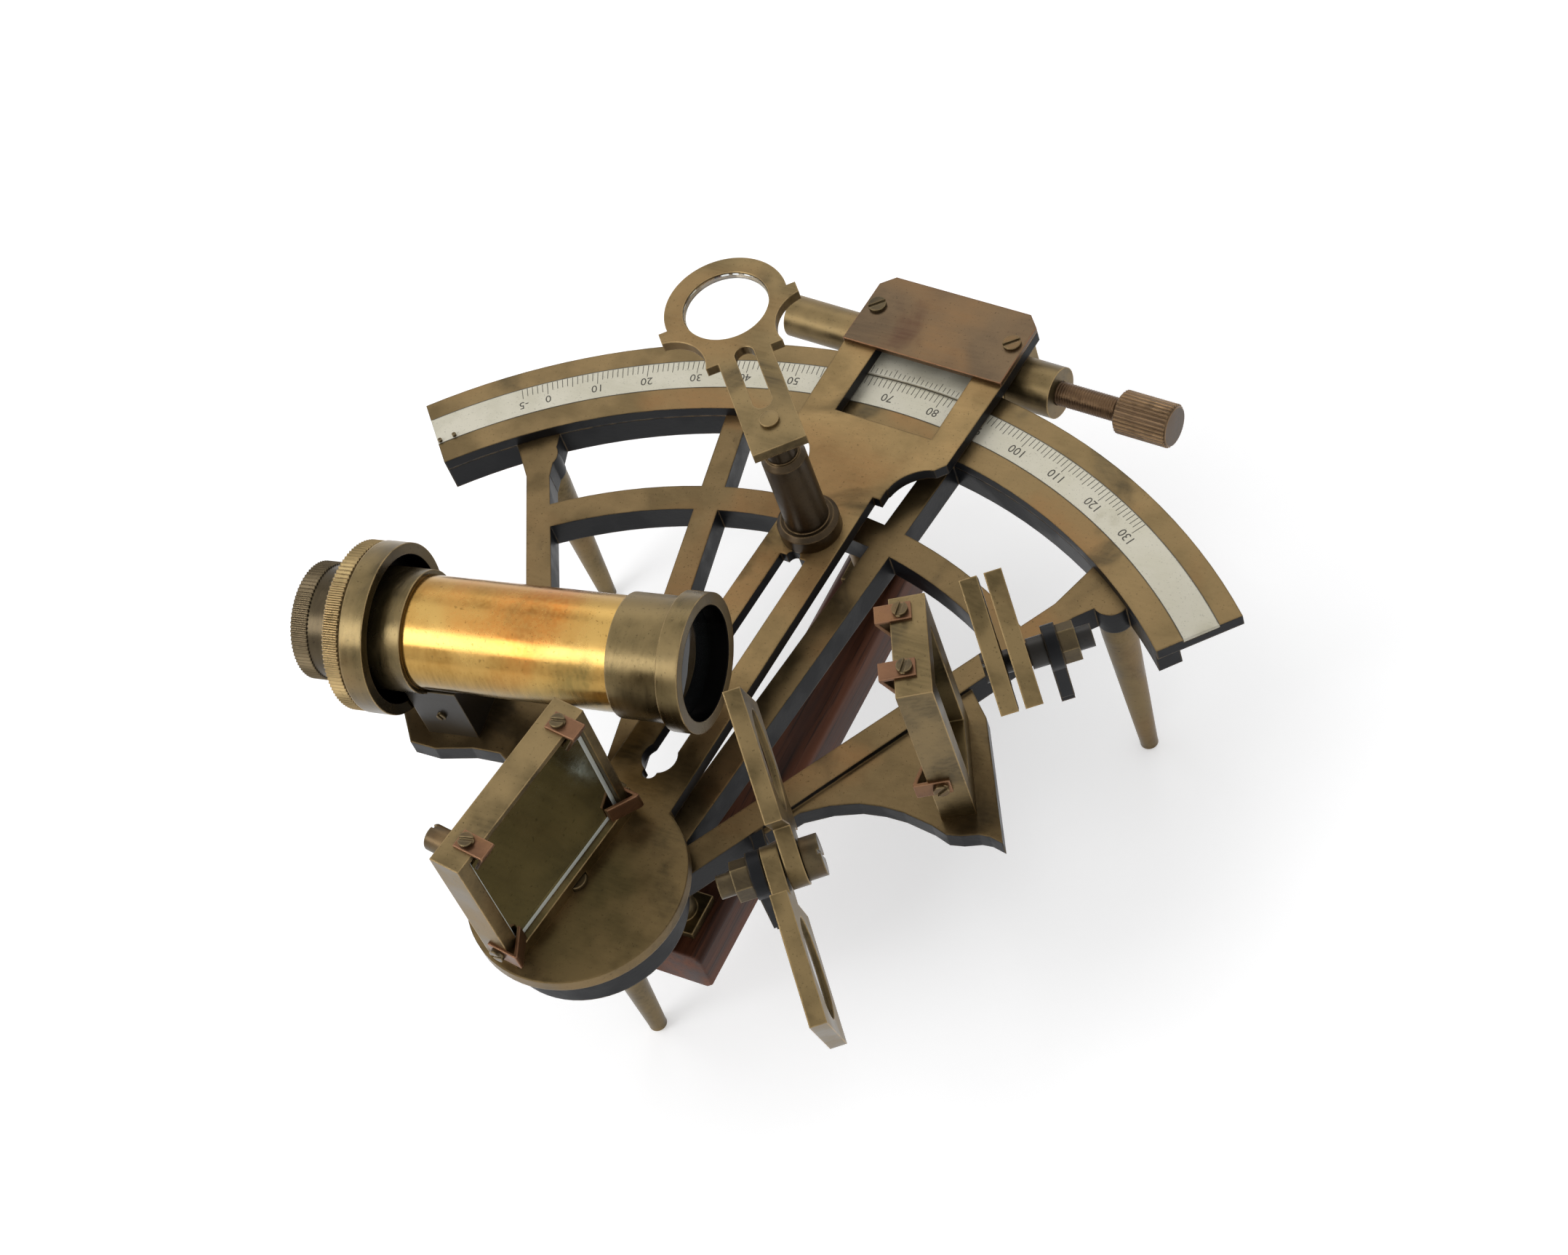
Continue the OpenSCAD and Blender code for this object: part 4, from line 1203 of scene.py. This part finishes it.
@dataclass
class Telescope:
    """The telescope with its knurled holding ring and draw eyepiece."""

    def build(self, palette: Palette) -> None:
        """Builds the knurls and the objective lens.

        Args:
            palette: The materials by name.
        """
        cap = KnurledBand("eyepiece_knurl", 15.1, proud=0.6, low=-35.1, high=-30.4, ridges=84)
        hand_over(cap.build(), TELESCOPE, "eyepiece", palette["eyepiece_brass"])
        ring = KnurledBand("ring_knurl", 21.8, proud=0.7, low=-21.8, high=-17.5, ridges=110)
        hand_over(ring.build(), TELESCOPE, "stand", palette["ring_brass"])
        front = Lens("objective_glass", 14.8, low=68.7, edge=1.6, rise=1.3).build()
        hand_over(front, TELESCOPE, "stand", palette["dark_glass"])
        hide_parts("objective_lens")


@dataclass
class MirrorPlate:
    """A mirror glass with softened ground edges, between two corners of its block's frame."""

    name: str
    node: str
    body: str
    place: Matrix
    low: Point
    high: Point
    edge_round: float = 0.35
    # Width and depth of the sunk border round the front face, which takes the pale edge colour as a
    # painted highlight.
    border: float = 0.9
    sunk: float = 0.3

    def build(self, palette: Palette) -> None:
        """Builds the plate with silver on its faces, ground glass at its edges, and a painted
        highlight on a sunk front border.

        Args:
            palette: The materials by name.
        """
        obj = add_box(self.name, Vector(self.low), Vector(self.high))
        bevel(obj, self.edge_round, 2)
        edit(obj)
        front = self.high[0] * MM
        pick(obj, Element.FACE, lambda p, n: n.x > 0.99 and abs(p.x - front) < NEAR)
        bpy.ops.mesh.inset(thickness=self.border * MM, depth=-self.sunk * MM)
        bpy.ops.object.mode_set(mode="OBJECT")
        obj.data.materials.append(palette["silvered_glass"])
        obj.data.materials.append(palette["ground_edge_and_highlight"])
        # The sides and the sunk front border take the pale edge colour; on the border it is a
        # painted highlight.
        for face in obj.data.polygons:
            face.material_index = 0 if abs(face.normal.x) > 0.99 else 1
        hand_over(obj, self.place, self.body, palette["silvered_glass"])
        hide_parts(self.node)


MIRRORS = (
    MirrorPlate(
        "index_mirror_plate", "index_mirror_glass", "index_arm", INDEX_MIRROR,
        low=(4.1, 4.0, 4.0), high=(7.1, 48.4, 43.9),
    ),
    MirrorPlate(
        "horizon_mirror_plate", "horizon_mirror_glass", "stand", HORIZON_MIRROR,
        low=(0.8, 2.0, 4.0), high=(3.8, 27.4, 52.4),
    ),
)


@dataclass
class TangentScrew:
    """The tangent screw with its threaded shank and knurled knob, and the clamp screw below."""

    crest_r: float = 3.4
    root_r: float = 3.0
    pitch: float = 0.8
    low: float = -33.6
    high: float = 19.2
    steps: int = 32
    knob_r: float = 6.15
    knob_from: float = 19.5
    knob_to: float = 34.5
    ridges: int = 30
    groove: float = 0.45
    clamp_y: float = 176.0

    def notch(self) -> Object:
        """Builds the two edges of one notch from a triangle without its last edge.

        Returns:
            The notch, at the lower end of the shank.
        """
        clear_selection()
        bpy.ops.mesh.primitive_circle_add(vertices=3, radius=MM, fill_type="NOTHING")
        obj = bpy.context.object
        obj.name = "tangent_thread"
        edit(obj)
        bpy.ops.mesh.select_mode(type="EDGE")
        bpy.ops.mesh.select_all(action="DESELECT")
        mesh = bmesh.from_edit_mesh(obj.data)
        mesh.edges.ensure_lookup_table()
        mesh.edges[-1].select_set(True)
        ends = sorted(v.index for v in mesh.edges[-1].verts)
        bmesh.update_edit_mesh(obj.data)
        bpy.ops.mesh.delete(type="EDGE_FACE")
        bpy.ops.object.mode_set(mode="OBJECT")
        middle = ({0, 1, 2} - set(ends)).pop()
        spots = {
            ends[0]: (self.root_r, 0, self.low),
            middle: (self.crest_r, 0, self.low + self.pitch / 2),
            ends[1]: (self.root_r, 0, self.low + self.pitch),
        }
        for index, spot in spots.items():
            obj.data.vertices[index].co = Vector(spot) * MM
        return obj

    def thread(self) -> Object:
        """Builds the thread by winding a notch along the shank.

        Returns:
            The thread.
        """
        obj = self.notch()
        bpy.ops.object.modifier_add(type="SCREW")
        winding = obj.modifiers[-1]
        winding.axis = "Z"
        winding.steps = winding.render_steps = self.steps
        winding.screw_offset = self.pitch * MM
        winding.iterations = int((self.high - self.low) / self.pitch) - 1
        winding.use_merge_vertices = True
        winding.merge_threshold = NEAR
        bpy.ops.object.modifier_apply(modifier=winding.name)
        edit(obj)
        bpy.ops.mesh.select_all(action="SELECT")
        bpy.ops.mesh.remove_doubles(threshold=2 * NEAR)
        bpy.ops.mesh.fill_holes(sides=0)
        close_up(obj, 30.0)
        return obj

    def knob(self) -> Object:
        """Builds the knob with its ridges and rounded ends.

        Returns:
            The knob.
        """
        sides = self.ridges * 4
        root = self.knob_r - self.groove
        obj = add_cylinder("tangent_knob", root, self.knob_from, self.knob_to, sides)
        edit(obj)
        step = 2 * math.pi / sides
        pick(
            obj, Element.FACE,
            lambda p, n: abs(n.z) < 0.1 and math.atan2(p.y, p.x) / step % 4 < 2,
        )
        bpy.ops.mesh.extrude_region_shrink_fatten(
            TRANSFORM_OT_shrink_fatten={"value": self.groove * MM}
        )
        for end, rise, shrink in ((self.knob_to, 0.6, 0.97), (self.knob_from, -0.5, 0.95)):
            level = end * MM
            pick(
                obj, Element.FACE,
                lambda p, n: abs(n.z) > 0.9 and abs(p.z - level) < NEAR and p.xy.length < MM,
            )
            bpy.ops.mesh.extrude_region_move(
                TRANSFORM_OT_translate={"value": (0, 0, rise * MM)}
            )
            bpy.ops.transform.resize(value=(shrink, shrink, 1))
        close_up(obj, 25.0)
        return obj

    def build(self, palette: Palette) -> None:
        """Builds the screws.

        Args:
            palette: The materials by name.
        """
        hand_over(self.thread(), TANGENT, "tangent_screw", palette["dark_thread"])
        brown = palette["coppery_brass"]
        knob = hand_over(self.knob(), TANGENT, "tangent_screw", brown)
        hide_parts("tangent_screw")
        head = KnurledBand("clamp_knurl", 6.5, proud=0.4, low=47.8, high=55.0, ridges=44)
        place = ARM @ shift(0, self.clamp_y, 0)
        hand_over(head.build(), place, "clamp_screw", palette["screw_brass"])


@dataclass
class Magnifier:
    """The reading magnifier on its pillar."""

    reach: float = 44.0

    def build(self, palette: Palette) -> None:
        """Builds the domed lens and the rivet.

        Args:
            palette: The materials by name.
        """
        rivet = Lens("magnifier_rivet", 2.6, low=3.05, edge=0.9, rise=0.2, rings=4).build()
        hand_over(rivet, MAGNIFIER, "index_arm", palette["aged_brass"])
        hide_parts("magnifier_screw")
        lens = Lens("magnifier_glass", 11.7, low=0.85, edge=1.7, rise=0.34).build()
        place = MAGNIFIER @ shift(self.reach, 0, 0)
        hand_over(lens, place, "magnifier", palette["clear_glass"])
        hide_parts("magnifier_lens")


@dataclass
class Lamp:
    """A soft square lamp, its place and width in metres."""

    name: str
    where: Point
    watts: float
    width: float

    def build(self, target: Vector) -> None:
        """Adds the lamp, turned towards a point.

        Args:
            target: The point, in metres.
        """
        data = bpy.data.lights.new(self.name, "AREA")
        data.energy = self.watts
        data.size = self.width
        lamp = bpy.data.objects.new(self.name, data)
        bpy.context.scene.collection.objects.link(lamp)
        lamp.location = self.where
        lamp.rotation_mode = "QUATERNION"
        lamp.rotation_quaternion = (target - lamp.location).to_track_quat("-Z", "Y")


@dataclass
class Studio:
    """The pale floor, the soft light and the camera. The floor's radius is in metres."""

    lens_mm: float = 69.16
    eye: Point = (363.0, -263.0, 687.5)
    right: Point = (0.867, 0.436, -0.242)
    down: Point = (0.232, -0.783, -0.578)
    floor_r: float = 3.0
    floor_glow: float = 0.42
    key_way: Point = (-0.44, -0.65, 0.62)

    def seen(self, graph: Graph) -> Socket:
        """Tells rays that come from the camera, off gloss or through glass from all others.

        Args:
            graph: The material's graph.

        Returns:
            A mask, 1 for those rays.
        """
        path = graph.node("LightPath").outputs
        gloss = graph.math("ADD", path["Is Camera Ray"], path["Is Glossy Ray"])
        return graph.math("ADD", gloss, path["Is Transmission Ray"])

    def floor(self) -> None:
        """Builds the floor: a flat disc whose rim is out of sight."""
        clear_selection()
        bpy.ops.mesh.primitive_circle_add(vertices=96, radius=self.floor_r, fill_type="NGON")
        obj = bpy.context.object
        obj.name = "floor"
        material, graph, shader = new_material("floor")
        where = graph.node("TexCoord").outputs["Object"]
        tone = graph.span(graph.noise(where, 3.0), 0.3, 0.7)
        graph.fill(shader, {
            "Base Color": graph.blend(tone, (0.78, 0.78, 0.785), (0.8, 0.8, 0.805)),
            "Roughness": 0.7,
            "Emission Color": WHITE,
            "Emission Strength": graph.math("MULTIPLY", self.seen(graph), self.floor_glow),
        })
        obj.data.materials.append(material)

    def world(self) -> None:
        """Lights the room from above, pale where it is seen and palest towards the key lamp."""
        world = bpy.data.worlds.new("room")
        bpy.context.scene.world = world
        world.use_nodes = True
        graph = Graph(world.node_tree)
        back = world.node_tree.nodes["Background"]
        way = graph.node("TexCoord").outputs["Generated"]
        up = graph.height(way)
        light = graph.span(up, -0.1, 0.9, (0.4, 0.75))
        facing = graph.vector("DOT_PRODUCT", way, self.key_way)["Value"]
        near_key = graph.span(facing, -0.9, 0.6, (0.8, 1.0))
        pale = graph.math("MULTIPLY", near_key, graph.span(up, 0.5, 1.0, (1.0, 0.5)))
        plain = graph.math("MULTIPLY", self.seen(graph), pale)
        graph.fill(back, {"Color": WHITE, "Strength": graph.math("MAXIMUM", light, plain)})

    def camera(self) -> None:
        """Sets the camera where the photograph was taken from."""
        data = bpy.data.cameras.new("camera")
        data.lens = self.lens_mm
        data.sensor_width = 36
        data.clip_start, data.clip_end = 0.01, 50
        camera = bpy.data.objects.new("camera", data)
        bpy.context.scene.collection.objects.link(camera)
        x = Vector(self.right).normalized()
        z = x.cross(-Vector(self.down)).normalized()
        y = z.cross(x)
        aim = Matrix((x, y, z)).transposed().to_4x4()
        camera.matrix_world = shift(*self.eye) @ aim
        bpy.context.scene.camera = camera

    def build(self) -> None:
        """Sets up the whole studio."""
        self.floor()
        self.world()
        self.camera()
        target = Vector((0.0, 0.09, 0.07))
        for lamp in (
            Lamp("key", (-0.6, -0.85, 0.9), watts=5.5, width=0.6),
            Lamp("fill", (-1.0, -0.1, 1.3), watts=3.0, width=1.3),
            Lamp("back", (-0.45, 1.05, 1.15), watts=2.4, width=0.8),
        ):
            lamp.build(target)
        bpy.context.scene.view_settings.view_transform = "Standard"


def main() -> None:
    """Builds the looks of the whole sextant."""
    logging.basicConfig(level=logging.INFO, format="%(message)s")
    clear_selection()
    palette = make_palette()
    paint_nodes(palette)
    for piece in (Graduations(), Handle(), Telescope(), *MIRRORS, TangentScrew(), Magnifier()):
        piece.build(palette)
    Studio().build()
    bpy.context.view_layer.update()


if __name__ == "__main__":
    main()
